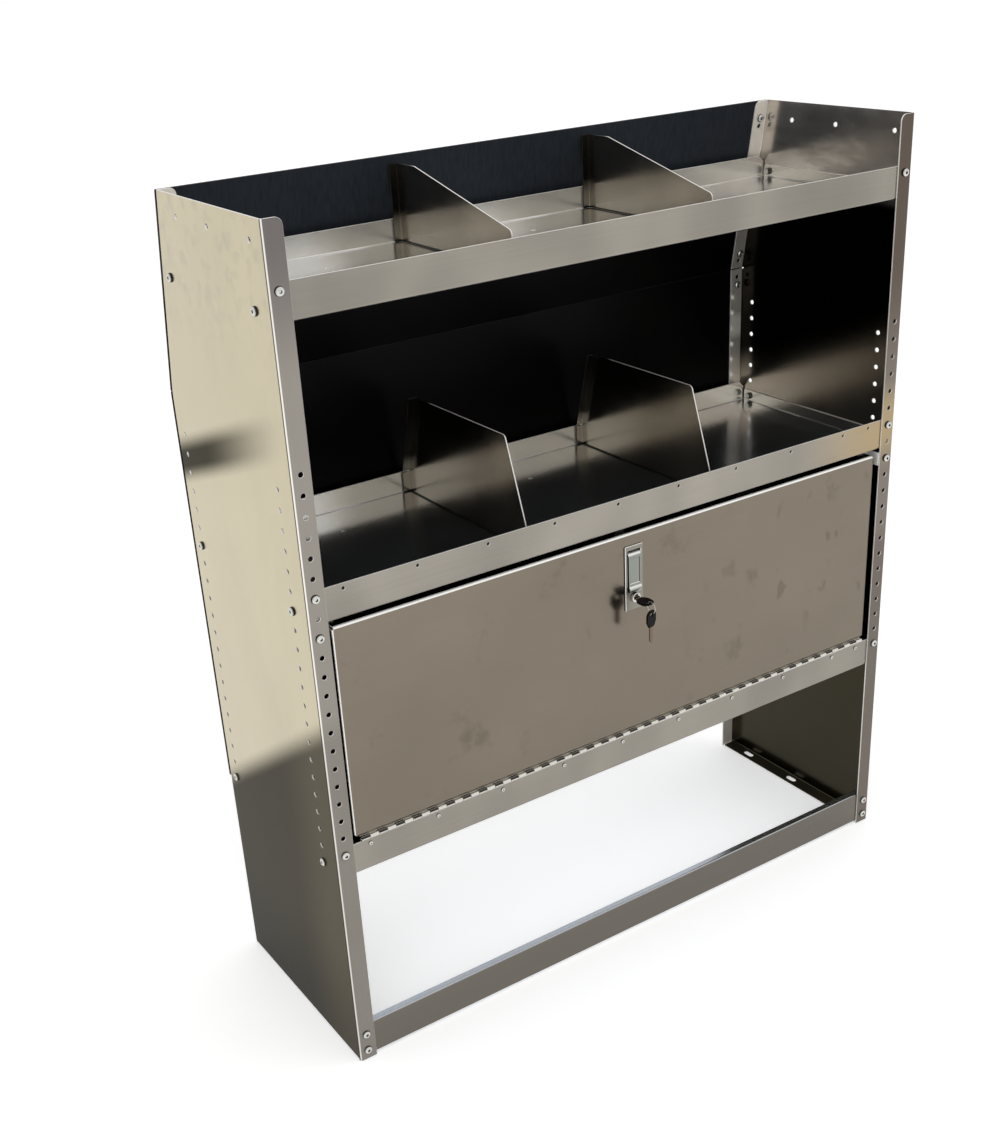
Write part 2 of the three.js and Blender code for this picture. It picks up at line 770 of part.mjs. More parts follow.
// Door: a pan folded back on all four sides, with an opening for the latch case
function doorPan() {
  const long_section = foldedSection([
    point(door_rear_y, door_top),
    point(door_face_y, door_top),
    point(door_face_y, door_base),
    point(door_rear_y, door_base),
  ], door_sheet, door_bend_radius);
  const side_section = foldedSection([
    point(-door_half_width, door_rear_y),
    point(-door_half_width, door_face_y),
    point(-door_half_width + door_bend_radius + fold_lap, door_face_y),
  ], door_sheet, door_bend_radius);
  const fold_inset = door_bend_radius + run_gap;
  const long_half = door_half_width - door_bend_radius;
  const side_fold = extruded('z', side_section, door_base + fold_inset, door_top - fold_inset);
  const far_fold = solidOf(mirroredX(geometryOf(side_fold)));
  const pan = joined([extruded('x', long_section, -long_half, long_half), side_fold, far_fold]);
  const case_half = case_width / 2 + seat_gap;
  const opening = block(-case_half, case_half, door_face_y - cut_overrun,
    door_face_y + cut_overrun, bezel_base + case_end_inset - seat_gap,
    bezel_top - case_end_inset + seat_gap);
  return geometryOf(cutBy(pan, [opening]));
}

// One hinge leaf: a strip and the knuckles rolled from it. Both leaves are built lying back
// from the pin line, with the strip's top face level with the top of the knuckles
function hingeLeaf(leaf_width, first_step) {
  const strip_start = hinge_knuckle_radius + run_gap;
  const low = hinge_knuckle_radius - hinge_leaf;
  const parts = [block(-hinge_half_length, hinge_half_length, strip_start,
    hinge_knuckle_radius + leaf_width, low, hinge_knuckle_radius)];
  const bores = [];
  const knuckle_length = hinge_period / 2 - hinge_knuckle_gap;
  for (let step = 0; step < hinge_period_count; step += 1) {
    const period_start = (step + first_step / 2) * hinge_period - hinge_half_length;
    const start = period_start + hinge_knuckle_gap / 2;
    const end = start + knuckle_length;
    parts.push(bar('x', hinge_knuckle_radius, start, end, 0, 0, hinge_sides));
    parts.push(block(start, end, 0, strip_start + fold_lap, low, hinge_knuckle_radius));
    bores.push(bar('x', hinge_bore_radius, start - run_gap, end + run_gap, 0, 0, hinge_bore_sides));
  }
  return geometryOf(cutBy(joined(parts), bores));
}

function doorHingeLeaf() {
  const geometry = hingeLeaf(hinge_door_leaf_width, 1);
  geometry.translate(0, hinge_y, hinge_z);
  return geometry;
}

// The fixed leaf hangs down behind the cabinet floor's lip and is drilled like the lip
function fixedHingeLeaf() {
  const geometry = hingeLeaf(hinge_leaf_width, 0);
  geometry.rotateX(-Math.PI / 2);
  geometry.translate(0, hinge_y, hinge_z);
  const hole_height = tray_base.cabinet_floor + front_lip_height - lip_hole_drop;
  const cutters = lip_hole_places.map((place) => bar('y', lip_hole_radius,
    hinge_y - cut_overrun, hinge_y + cut_overrun, place, hole_height, hole_sides));
  return geometryOf(cutBy(solidOf(geometry), cutters));
}

const hingePin = () => geometryOf(
  bar('x', hinge_pin_radius, -hinge_half_length, hinge_half_length, hinge_y, hinge_z,
    hinge_bore_sides));

// Door stop: a bent strip behind the front flange whose tab the rear edge of the pan meets
function doorStop() {
  const leg_x = -half_width + flange_width - seat_gap;
  const tab_y = door_rear_y + seat_gap;
  const section = foldedSection([
    point(leg_x - stop_base_length, lip_front_y),
    point(leg_x, lip_front_y),
    point(leg_x, tab_y),
    point(leg_x + stop_tab_length, tab_y),
  ], sheet, stop_bend_radius);
  const middle = front_screws.door_stop;
  const strip = extruded('z', section, middle - stop_height / 2, middle + stop_height / 2);
  const hole = bar('y', hole_radius, lip_front_y - cut_overrun, lip_rear_y + run_gap,
    -flange_hole_x, middle, hole_sides);
  return geometryOf(cutBy(strip, [hole]));
}

// Latch housing: a bezel on the door's face, a case behind it with the lever's pocket and the
// lock's bore, and a guide behind the case for the bolt
function latchHousing() {
  const half = bezel_width / 2 - bezel_edge;
  const outline = [
    point(-half, bezel_base + bezel_edge),
    point(half, bezel_base + bezel_edge),
    point(half, bezel_top - bezel_edge),
    point(-half, bezel_top - bezel_edge),
  ];
  const plate = new THREE.ExtrudeGeometry(new THREE.Shape(outline), {
    depth: bezel_thickness - bezel_edge,
    bevelEnabled: true,
    bevelThickness: bezel_edge,
    bevelSize: bezel_edge,
    bevelSegments: 1,
  });
  plate.applyMatrix4(new THREE.Matrix4().makeBasis(unit_x, unit_z, unit_y.clone().negate()));
  plate.translate(0, bezel_front_y + bezel_thickness, 0);
  const behind = block(-bezel_width, bezel_width, door_face_y - seat_gap, case_rear_y,
    bezel_base - cut_overrun, bezel_top + cut_overrun);
  const bezel = solidOf(plate).subtract(behind);
  const case_half = case_width / 2;
  const body = block(-case_half, case_half, bezel_front_y + bezel_edge, case_rear_y,
    bezel_base + case_end_inset, bezel_top - case_end_inset);
  const channel_half = bolt_bar_width / 2 + run_gap;
  const guide_half = channel_half + guide_wall;
  const guide_top = bezel_top - guide_drop + guide_height;
  const guide = block(-guide_half, guide_half, case_rear_y - fold_lap,
    bolt_rear_y + run_gap + guide_wall, bezel_top - guide_drop, guide_top);

  const pocket_top = bezel_top - pocket_top_inset;
  const pin_half = lever_pin_length / 2 + seat_gap;
  const cutters = [
    block(-pocket_width / 2, pocket_width / 2, bezel_front_y - cut_overrun,
      bezel_front_y + pocket_depth, pocket_top - pocket_height, pocket_top),
    bar('y', lock_bore_radius, bezel_front_y - cut_overrun, case_rear_y + cut_overrun,
      0, lock_z, lock_sides),
    bar('x', lever_bore_radius, -pin_half, pin_half, lever_pivot_y, lever_pivot_z, lever_sides),
    block(-channel_half, channel_half, bolt_front_y - run_gap, bolt_rear_y + run_gap,
      bezel_top - guide_drop - cut_overrun, guide_top + cut_overrun),
  ];
  return geometryOf(cutBy(joined([bezel, body, guide]), cutters));
}

// Pull lever: a plate with a rolled barrel at the top and a lip turned out at the bottom
function pullLever() {
  const at = (depth, rise) => point(lever_pivot_y + depth, lever_pivot_z + rise);
  const back = lever_thickness - lever_face_rise - lever_pivot_depth;
  const face = -lever_face_rise - lever_pivot_depth;
  const tip = -lever_reach;
  const barrel = arcPoints(at(0, 0), lever_barrel_radius, Math.PI / 2, -Math.PI,
    large_end_steps);
  const outline = [
    ...barrel,
    at(back, -lever_barrel_radius),
    at(back, tip + lever_lip_height),
    at(face + lever_lip, tip + lever_thickness),
    at(face - lever_lip + lever_panel_depth, tip),
    at(face - lever_lip, tip + lever_panel_depth),
    at(face, tip + lever_lip_height),
    at(face, -lever_panel_border),
    at(face + lever_panel_border, lever_barrel_radius - lever_panel_depth),
  ];
  const half = lever_width / 2;
  const plate = extruded('x', outline, -half, half);
  const panel_half = half - lever_panel_border;
  const cutters = [
    bar('x', lever_bore_radius, -half - cut_overrun, half + cut_overrun,
      lever_pivot_y, lever_pivot_z, lever_sides),
    block(-panel_half, panel_half, lever_pivot_y + face - cut_overrun,
      lever_pivot_y + face + lever_panel_depth,
      lever_pivot_z + tip + lever_lip_height + lever_panel_border,
      lever_pivot_z - lever_panel_top_inset),
  ];
  return geometryOf(cutBy(plate, cutters));
}

const leverPin = () => geometryOf(bar('x', lever_pin_radius, -lever_pin_length / 2,
  lever_pin_length / 2, lever_pivot_y, lever_pivot_z, lever_sides));

// Lock cylinder: collar on the bezel, plug through the case, stud for the cam, keyway in front
function lockCylinder() {
  const collar_rear = bezel_front_y - seat_gap;
  const profile = [
    point(0, lock_face_y),
    point(lock_collar_radius - lock_collar_edge, lock_face_y),
    point(lock_collar_radius, lock_face_y + lock_collar_edge),
    point(lock_collar_radius, collar_rear),
    point(lock_plug_radius, collar_rear),
    point(lock_plug_radius, cam_front_y - seat_gap),
    point(lock_stud_radius, cam_front_y - seat_gap),
    point(lock_stud_radius, stud_rear_y),
    point(0, stud_rear_y),
  ];
  const turned = new THREE.LatheGeometry(profile, lock_sides);
  turned.translate(0, 0, lock_z);
  const keyway = block(-keyway_width / 2, keyway_width / 2, lock_face_y - cut_overrun,
    lock_face_y + keyway_depth, lock_z - keyway_height / 2, lock_z + keyway_height / 2);
  return geometryOf(cutBy(solidOf(turned), [keyway]));
}

// Lock cam: at rest its arm points to -X, and its pin drives the bolt
function lockCam() {
  const hub = point(0, lock_z);
  const tip = point(-cam_throw, lock_z);
  const outline = [
    ...arcPoints(hub, cam_hub_radius, -Math.PI / 2, Math.PI, large_end_steps),
    ...arcPoints(tip, cam_tip_radius, Math.PI / 2, Math.PI, small_end_steps),
  ];
  const plate = extruded('y', outline, cam_front_y, cam_rear_y);
  const bore = bar('y', cam_bore_radius, cam_front_y - cut_overrun, cam_rear_y + cut_overrun,
    0, lock_z, lock_sides);
  const pin = bar('y', cam_pin_radius, cam_rear_y - cam_thickness / 2, bolt_rear_y + run_gap,
    -cam_throw, lock_z, lock_sides);
  return geometryOf(plate.subtract(bore).add(pin));
}

function camNut() {
  const body = bar('y', nut_radius, nut_front_y, nut_rear_y, 0, lock_z, nut_sides);
  const bore = bar('y', cam_bore_radius, nut_front_y - cut_overrun, nut_rear_y + cut_overrun,
    0, lock_z, lock_sides);
  return geometryOf(body.subtract(bore));
}

// Lock bolt: an upright bar whose slotted foot follows the cam's pin
function lockBolt() {
  const stem_half = bolt_bar_width / 2;
  const pin_room = cam_pin_radius + run_gap;
  const slot_left = -cam_throw - pin_room;
  const slot_right = pin_room;
  const slot_base = lock_z - pin_room;
  const slot_top = lock_z + pin_room + bolt_slot_play;
  const foot_base = slot_base - bolt_foot_margin;
  const foot_top = slot_top + bolt_foot_margin;
  const outline = [
    point(slot_left - bolt_foot_margin, foot_base),
    point(stem_half, foot_base),
    point(stem_half, door_top + bolt_top_inset),
    point(-stem_half, door_top + bolt_top_inset),
    point(-stem_half, foot_top),
    point(slot_left - bolt_foot_margin, foot_top),
  ];
  const plate = extruded('y', outline, bolt_front_y, bolt_rear_y);
  const slot = block(slot_left, slot_right, bolt_front_y - cut_overrun,
    bolt_rear_y + cut_overrun, slot_base, slot_top);
  return geometryOf(plate.subtract(slot));
}

// A key lying in the XY plane with its shoulder at the origin and its bow towards +Y
function keyBlank() {
  const half_bow = bow_width / 2;
  const shoulder_half = bow_shoulder_width / 2;
  const bow = roundedOutline([
    { at: point(-shoulder_half, 0) },
    { at: point(shoulder_half, 0) },
    { at: point(half_bow, bow_length * bow_cheek_share), radius: bow_cheek_radius },
    { at: point(half_bow, bow_length), radius: bow_end_radius },
    { at: point(-half_bow, bow_length), radius: bow_end_radius },
    { at: point(-half_bow, bow_length * bow_cheek_share), radius: bow_cheek_radius },
  ]);
  const half_blade = blade_width / 2;
  const blade = [point(-half_blade, fold_lap), point(-half_blade, -blade_length + half_blade),
    point(0, -blade_length), point(half_blade, -blade_length + half_blade)];
  const cut_run = (blade_length - half_blade - fold_lap) / (2 * blade_notch_count);
  for (let step = 0; step < blade_notch_count; step += 1) {
    const start = -blade_length + half_blade + 2 * step * cut_run;
    blade.push(point(half_blade - blade_notch, start + cut_run));
    blade.push(point(half_blade, start + 2 * cut_run));
  }
  blade.push(point(half_blade, fold_lap));
  const bow_solid = extruded('z', bow, -bow_thickness / 2, bow_thickness / 2);
  const blade_solid = extruded('z', blade, -blade_thickness / 2, blade_thickness / 2);
  const hole = bar('z', bow_hole_radius, -cut_overrun, cut_overrun,
    0, bow_length - bow_hole_inset, bow_hole_sides);
  return geometryOf(bow_solid.add(blade_solid).subtract(hole));
}

function keyInLock() {
  const geometry = keyBlank();
  geometry.rotateZ(Math.PI);
  geometry.translate(0, key_shoulder_y, lock_z);
  return geometry;
}

// The spare key hangs by its hole from the lowest point of the ring
function spareKey() {
  const hole_flat = bow_hole_radius * Math.cos(Math.PI / bow_hole_sides);
  const hole_z = spare_wire_z + ring_wire_radius + seat_gap - hole_flat;
  const geometry = keyBlank();
  geometry.rotateX(Math.PI / 2);
  geometry.rotateZ(spare_key_yaw);
  geometry.translate(0, ring_y, hole_z - bow_length + bow_hole_inset);
  return geometry;
}

function keyRing() {
  const geometry = new THREE.TorusGeometry(ring_radius, ring_wire_radius, ring_wire_sides,
    ring_steps);
  geometry.rotateY(Math.PI / 2);
  geometry.translate(0, ring_y, ring_z);
  return geometryOf(solidOf(geometry));
}

// A button-head screw with its nut, as one solid along +Y: the head's seat is at the origin and
// the nut sits past the clamped thickness
function screwWithNut(grip) {
  const nut_start = grip + 2 * seat_gap;
  const profile = [
    point(0, screw_socket_depth - screw_head_height),
    point(screw_socket_radius, screw_socket_depth - screw_head_height),
    point(screw_crown_radius, -screw_head_height),
    point(screw_head_radius, 0),
    point(screw_shank_radius, 0),
    point(screw_shank_radius, nut_start),
    point(screw_nut_radius, nut_start),
    point(screw_nut_radius, nut_start + screw_nut_height),
    point(0, nut_start + screw_nut_height),
  ];
  return geometryOf(solidOf(new THREE.LatheGeometry(profile, screw_sides)));
}

// Finishes, with their colours as seen on the object
const metal = (color, roughness, metalness = 0.9) => new THREE.MeshStandardMaterial({
  color, roughness, metalness, flatShading: true,
});
const finishes = {
  panel: metal(0xb9b2a2, 0.28),
  tray: metal(0xa9a299, 0.3),
  divider: metal(0x8d887c, 0.22),
  door: metal(0x8f867a, 0.32),
  back: metal(0x15171b, 0.35, 0),
  hinge: metal(0xcfccc6, 0.25),
  zinc: metal(0xc9c9c6, 0.22),
  latch: metal(0x9a9d9c, 0.35),
  key: metal(0x1b1b1d, 0.45, 0.1),
};

const unit = new THREE.Group();
unit.position.y = -(front_reach + rear_reach) / 2;

function place(name, geometry, material, parent = unit) {
  const mesh = new THREE.Mesh(geometry, material);
  mesh.name = name;
  parent.add(mesh);
  return mesh;
}

const sides = { left: -1, right: 1 };

// Frame: end panels, trays, rail and back sheets
const left_panel = endPanel();
place('end_panel_left', left_panel, finishes.panel);
place('end_panel_right', mirroredX(left_panel), finishes.panel);

const strike_half = bolt_bar_width / 2 + strike_play;
const strike_slot = block(-strike_half, strike_half, bolt_front_y - strike_play,
  bolt_rear_y + strike_play, tray_base.middle_shelf - cut_overrun,
  tray_base.middle_shelf + sheet + cut_overrun);
const tray_extras = { top_shelf: [], middle_shelf: [strike_slot], cabinet_floor: [] };
const tray_names = {
  top_shelf: 'shelf_tray_top',
  middle_shelf: 'shelf_tray_middle',
  cabinet_floor: 'cabinet_floor_tray',
};
for (const [shelf, name] of Object.entries(tray_names)) {
  place(name, shelfTray(tray_base[shelf], depth_of_tray[shelf], rear_screw_of_tray[shelf],
    shelf !== 'top_shelf', tray_extras[shelf]), finishes.tray);
}
place('bottom_front_rail', bottomRail(), finishes.tray);
place('back_sheet_upper', upperBackSheet(), finishes.back);
place('back_sheet_lower', lowerBackSheet(), finishes.back);

// Dividers
place('divider_top_left', topDivider(divider_left_share * unit_width), finishes.divider);
place('divider_top_right', topDivider(divider_right_share * unit_width), finishes.divider);
place('divider_middle_left', middleDivider(divider_left_share * unit_width), finishes.divider);
place('divider_middle_right', middleDivider(divider_right_share * unit_width), finishes.divider);

// Door, hinge and stops
place('door_panel', doorPan(), finishes.door);
place('hinge_leaf_fixed', fixedHingeLeaf(), finishes.hinge);
place('hinge_leaf_door', doorHingeLeaf(), finishes.hinge);
place('hinge_pin', hingePin(), finishes.hinge);
const left_stop = doorStop();
place('door_stop_left', left_stop, finishes.tray);
place('door_stop_right', mirroredX(left_stop), finishes.tray);

// Latch, lock and keys
place('latch_housing', latchHousing(), finishes.latch);
place('pull_lever', pullLever(), finishes.latch);
place('lever_pin', leverPin(), finishes.zinc);
place('lock_cylinder', lockCylinder(), finishes.zinc);
place('lock_cam', lockCam(), finishes.zinc);
place('cam_nut', camNut(), finishes.zinc);
place('lock_bolt', lockBolt(), finishes.zinc);
place('key_in_lock', keyInLock(), finishes.key);
place('key_ring', keyRing(), finishes.zinc);
place('spare_key', spareKey(), finishes.key);

// Screws through the front flanges
const panel_grip = sheet + seat_gap + sheet;
for (const [side, sign] of Object.entries(sides)) {
  for (const [row, height] of Object.entries(front_screws)) {
    const screw = place(`flange_screw_${side}_${row}`, screwWithNut(panel_grip), finishes.zinc);
    screw.position.set(sign * flange_hole_x, front_y - seat_gap, height);
  }
}

// Screws through the webs into the trays' end flanges
for (const [side, sign] of Object.entries(sides)) {
  for (const shelf of Object.keys(tray_base)) {
    const rows = { front: web_front_row_y, rear: rear_screw_of_tray[shelf] };
    const height = tray_base[shelf] + end_screw_rise;
    for (const [row, depth_place] of Object.entries(rows)) {
      const screw = place(`web_screw_${side}_${shelf}_${row}`, screwWithNut(panel_grip),
        finishes.zinc);
      screw.rotation.z = sign * Math.PI / 2;
      screw.position.set(sign * (half_width + seat_gap), depth_place, height);
    }
  }
}

// Screws through the rear flanges and the back sheets
const leaning_frame = new THREE.Group();
leaning_frame.position.set(0, rear_y, bend_height);
leaning_frame.rotation.x = lean_angle;
unit.add(leaning_frame);
for (const [side, sign] of Object.entries(sides)) {
  for (const [row, distance] of Object.entries(upper_rear_screws)) {
    const screw = place(`rear_screw_${side}_upper_${row}`, screwWithNut(rear_screw_grip),
      finishes.zinc, leaning_frame);
    screw.position.set(sign * flange_hole_x, -sheet - seat_gap, distance);
  }
  for (const [row, distance] of Object.entries(lower_rear_screws)) {
    const screw = place(`rear_screw_${side}_lower_${row}`, screwWithNut(rear_screw_grip),
      finishes.zinc);
    screw.position.set(sign * flange_hole_x, rear_y - sheet - seat_gap, bend_height - distance);
  }
}

export default unit;
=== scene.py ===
"""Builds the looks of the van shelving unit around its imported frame.

Each sheet metal piece starts as a flat pattern with its holes, which is cut along the bend
lines and folded. Lengths in the building code are in millimetres, in the frame's axes.
"""

import math
from typing import NamedTuple

import bmesh
import bpy
from bpy.props import FloatProperty, FloatVectorProperty, IntProperty, PointerProperty
from mathutils import Matrix, Vector
from mathutils.geometry import delaunay_2d_cdt


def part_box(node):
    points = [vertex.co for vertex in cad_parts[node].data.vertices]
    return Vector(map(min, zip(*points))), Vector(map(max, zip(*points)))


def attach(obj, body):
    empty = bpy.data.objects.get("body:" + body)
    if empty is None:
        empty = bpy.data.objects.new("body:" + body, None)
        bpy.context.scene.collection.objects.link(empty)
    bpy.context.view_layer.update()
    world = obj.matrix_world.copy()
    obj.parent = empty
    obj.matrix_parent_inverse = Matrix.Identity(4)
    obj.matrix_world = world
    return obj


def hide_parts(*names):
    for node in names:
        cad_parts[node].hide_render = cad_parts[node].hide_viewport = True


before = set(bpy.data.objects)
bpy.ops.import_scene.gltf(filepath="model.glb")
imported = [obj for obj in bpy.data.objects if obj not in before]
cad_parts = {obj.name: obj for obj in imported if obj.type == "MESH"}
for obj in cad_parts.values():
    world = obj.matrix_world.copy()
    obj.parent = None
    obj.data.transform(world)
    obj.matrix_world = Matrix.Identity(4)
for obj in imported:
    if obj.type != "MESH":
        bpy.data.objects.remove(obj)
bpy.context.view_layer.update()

bl_info = {
    "name": "Van Shelving Unit",
    "version": (1, 0, 0),
    "blender": (4, 5, 0),
    "location": "View3D > Sidebar > Shelving",
    "description": "Folds the sheet metal of a van shelving unit and dresses its frame",
    "category": "Object",
}

MILLIMETRE = 0.001
QUARTER = math.pi / 2

# Sheet metal
SHEET = 2.0
BEND_RADIUS = 4.0
FOLD_RELIEF = 0.4
SEAM = 1.6
BACK_SEAM = 0.2
BACK_CORNER = 1.5
RIB_MARGIN = 2.0
SHARP_EDGE = math.radians(32)
EDGE_CHAMFER = 0.25
MITRE_LIMIT = 0.5
CORNER_STEPS = 6
FOLD_STEPS = 5
SLOT_END_STEPS = 10

# Lengths below which two points are one, and the reach of a bend that crosses the whole sheet
SAME_POINT = 1e-6
ON_THE_LINE = 1e-5
BEYOND_SHEET = 1e6

# End panels
FLANGE_WIDTH = 25.4
FLANGE_CORNER = 9.0
BASE_FLANGE_CORNER = 4.0
LEAN_SETBACK = 48.0
HOLE_RADIUS = 3.4
HOLE_PITCH = 25.4
HOLE_COUNT = 21
HOLE_INSET = 12.7
FLANGE_TOP_HOLE = 838.2
WEB_TOP_HOLE = 812.8
WEB_FRONT_ROW = 40.0
WEB_REAR_ROW = 25.4
WALL_HOLE_DROP = 25.4
WALL_HOLE_INSETS = (33.0, 143.0, 230.0)
REAR_SCREW_INSET = 25.4
REAR_SPARE_PITCH = 12.7
SLOT_PITCH = 108.0
SLOT_LENGTH = 20.0
SLOT_WIDTH = 8.0

# Trays and rail
FRONT_LIP = 44.45
REAR_LIP = 31.75
END_FLANGE = 19.0
END_FLANGE_CORNER = 3.0
REAR_LIP_CHAMFER = 9.0
CHAMFER_CORNER = 1.0
LIP_CORNER = 0.8
LIP_END_RELIEF = 1.5
LIP_SCREW_RISE = 34.9
END_SCREW_RISE = 9.5
LIP_HOLE_PITCH = 101.6
LIP_HOLE_END_INSET = 12.7
LIP_HOLE_DROP = 6.75
LIP_HOLE_RADIUS = 2.3
FLOOR_HOLE_RADIUS = 3.0
FLOOR_HOLE_REAR_INSET = 79.0
FLOOR_HOLE_SHARE = 0.318
TOP_TRAY_REAR_SCREW = 12.7
STRIKE_PLAY = 1.8
STRIKE_CORNER = 1.0
RAIL_FLANGE = 12.0
RAIL_FLANGE_CORNER = 2.0

# Dividers
DIVIDER_SHEET = 1.6
DIVIDER_RADIUS = 2.4
DIVIDER_FLANGE = 12.0
DIVIDER_FLANGE_CORNER = 2.0
DIVIDER_CORNER = 7.0
TOP_NOSE = 46.0
TOP_CREST = 46.0
MIDDLE_HEEL = 30.0
MIDDLE_LEAN = 34.0
MIDDLE_CREST = 220.0

# Door, stops and hinge
DOOR_SHEET = 1.6
DOOR_RADIUS = 3.0
DOOR_CORNER = 2.0
OPENING_CORNER = 0.6
CASE_GAP = 0.2
STOP_LEG = 19.0
STOP_RADIUS = 3.0
HINGE_LEAF = 1.2
LEAF_CHAMFER = 0.12
LEAF_START = 3.2
KNUCKLE_RADIUS = 2.8
KNUCKLE_PERIOD = 25.4
KNUCKLE_GAP = 0.5
KNUCKLE_ROLL = math.radians(300)
SHORTEST_EDGE = 0.3

# Latch and lock
BEZEL_CORNER = 1.6
BEZEL_THICKNESS = 2.0
BEZEL_EDGE = 0.6
CASE_WIDTH = 27.0
CASE_DEPTH = 18.5
CASE_CORNER = 0.4
CASE_END_INSET = 4.0
POCKET_WIDTH = 22.4
POCKET_DEPTH = 12.0
POCKET_TOP_INSET = 6.7
POCKET_HEIGHT = 60.5
POCKET_CORNER = 1.2
FINE_CHAMFER = 0.05
LEVER_THICKNESS = 3.2
LEVER_BARREL = 3.5
LEVER_FACE_RISE = 5.7
LEVER_REACH = 51.0
LEVER_LIP = 2.6
LEVER_LIP_HEIGHT = 7.0
LEVER_END_BEVEL = 0.35
LEVER_PANEL_DEPTH = 0.6
LEVER_PANEL_BORDER = 2.4
LOCK_BORE = 6.2
COLLAR_RADIUS = 7.0
PLUG_RADIUS = 5.8
STUD_RADIUS = 4.0
KEYWAY = (8.8, 2.8, 23.0)
KEYWAY_CORNER = 0.4
CAM_HUB = 8.0
CAM_TIP = 4.4
CAM_THROW = 14.0
CAM_PIN = 2.0
CAM_PIN_SLACK = 3.2
CAM_BORE = 4.4
BOLT_WIDTH = 13.0
BOLT_PLAY = 0.4
BOLT_FOOT_CORNER = 2.0
BOLT_TIP_CORNER = 1.5
BOLT_SLOT_CORNER = 1.2
GUIDE_HEIGHT = 16.0
GUIDE_WALL = 4.0
GUIDE_DROP = 28.0
GUIDE_CORNER = 1.5

# Keys
BOW_LENGTH = 24.0
BOW_WIDTH = 20.0
BOW_THICKNESS = 3.0
BOW_HOLE = 3.1
BOW_HOLE_INSET = 5.6
BOW_SHOULDER = 11.0
BOW_CHEEK_SHARE = 0.33
BOW_CORNERS = (1, 1, 5, 8, 8, 5)
BLADE_LENGTH = 24.0
BLADE_WIDTH = 8.0
BLADE_THICKNESS = 2.0
BLADE_ROOT = 2.0
BLADE_NOTCH = 1.2
NOTCH_PITCH = 2.2
NOTCH_SHARES = (0, 1, 0.4, 1, 0.2, 0.8, 0.5, 1, 0)
KEY_YAW = math.pi / 11
RING_RADIUS = 8.0
RING_WIRE = 0.8
RING_STEPS = 96
RING_START = 0.6

# Screws
SCREW_HEAD_HEIGHT = 3.3
SCREW_SIDES = 24
NUT_HEIGHT = 4.2
NUT_RADIUS = 5.6
PANEL_GRIP = 4.2
REAR_GRIP = 5.2

# The stage. The camera was worked out from points of known size on the end panel, lips and rail,
# and its place is in metres
FLOOR_DROP = 0.4
CAMERA_PLACE = (-1.12277, -1.56628, 1.38156)
CAMERA_TURN = (1.115, 0.0539, -0.5861)
CAMERA_LENS = 47.11
CAMERA_SENSOR = 36.0
CAMERA_SHIFT = (0.0082, 0.0676)


class Box(NamedTuple):
    """The lowest and highest corners of a frame node, in millimetres."""
    low: Vector
    high: Vector

    @property
    def middle(self):
        return (self.low + self.high) / 2


def node_box(node):
    low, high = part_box(node)
    return Box(low / MILLIMETRE, high / MILLIMETRE)


PANEL = node_box("end_panel_left")
LOWER_SHEET = node_box("back_sheet_lower")
DOOR = node_box("door_panel")
HINGE_PIN = node_box("hinge_pin")
HOUSING = node_box("latch_housing")
LEVER = node_box("pull_lever")
LOCK = node_box("lock_cylinder")
FRONT_Y = PANEL.low.y
REAR_Y = PANEL.high.y
TOP_Z = PANEL.high.z
HALF_WIDTH = -PANEL.low.x
BEND_HEIGHT = LOWER_SHEET.high.z + BACK_SEAM / 2
LEAN_RISE = TOP_Z - BEND_HEIGHT
LEAN_ANGLE = math.atan2(LEAN_SETBACK, LEAN_RISE)
LEAN_LENGTH = math.hypot(LEAN_SETBACK, LEAN_RISE)
HOLE_X = HALF_WIDTH - HOLE_INSET


# Outlines in the plane of a flat sheet

def arc_points(centre, radius, start, sweep, steps):
    return [
        Vector((
            centre[0] + radius * math.cos(start + sweep * step / steps),
            centre[1] + radius * math.sin(start + sweep * step / steps),
        ))
        for step in range(steps + 1)
    ]


def hole(u, v, radius, sides=None):
    """A round hole, run clockwise as every hole is."""
    sides = sides or bpy.context.scene.shelving_sheets.hole_sides
    return arc_points((u, v), radius, 0, -2 * math.pi * (sides - 1) / sides, sides - 1)


def slot_hole(u, v, length, width):
    straight = (length - width) / 2
    return (arc_points((u, v + straight), width / 2, math.pi, -math.pi, SLOT_END_STEPS)
            + arc_points((u, v - straight), width / 2, 0, -math.pi, SLOT_END_STEPS))


def box_outline(low_u, high_u, low_v, high_v, radius=0.0):
    return rounded([(low_u, low_v), (high_u, low_v), (high_u, high_v), (low_u, high_v)],
                   [radius] * 4)


def box_hole(low_u, high_u, low_v, high_v, radius=0.0):
    return box_outline(low_u, high_u, low_v, high_v, radius)[::-1]


def rounded(corners, radii):
    """A closed outline whose corners are rounded by the radius given for each."""
    points = []
    corners = [Vector(corner) for corner in corners]
    for place, (corner, radius) in enumerate(zip(corners, radii)):
        if not radius:
            points.append(corner)
            continue
        before = (corner - corners[place - 1]).normalized()
        after = (corners[(place + 1) % len(corners)] - corner).normalized()
        turn = math.atan2(before.cross(after), before.dot(after))
        side = math.copysign(1, turn)
        inward = Vector((-before.y, before.x)) * side
        centre = corner - before * radius * math.tan(abs(turn) / 2) + inward * radius
        start = math.atan2(-inward.y, -inward.x)
        points += arc_points(centre, radius, start, turn, CORNER_STEPS)
    return points


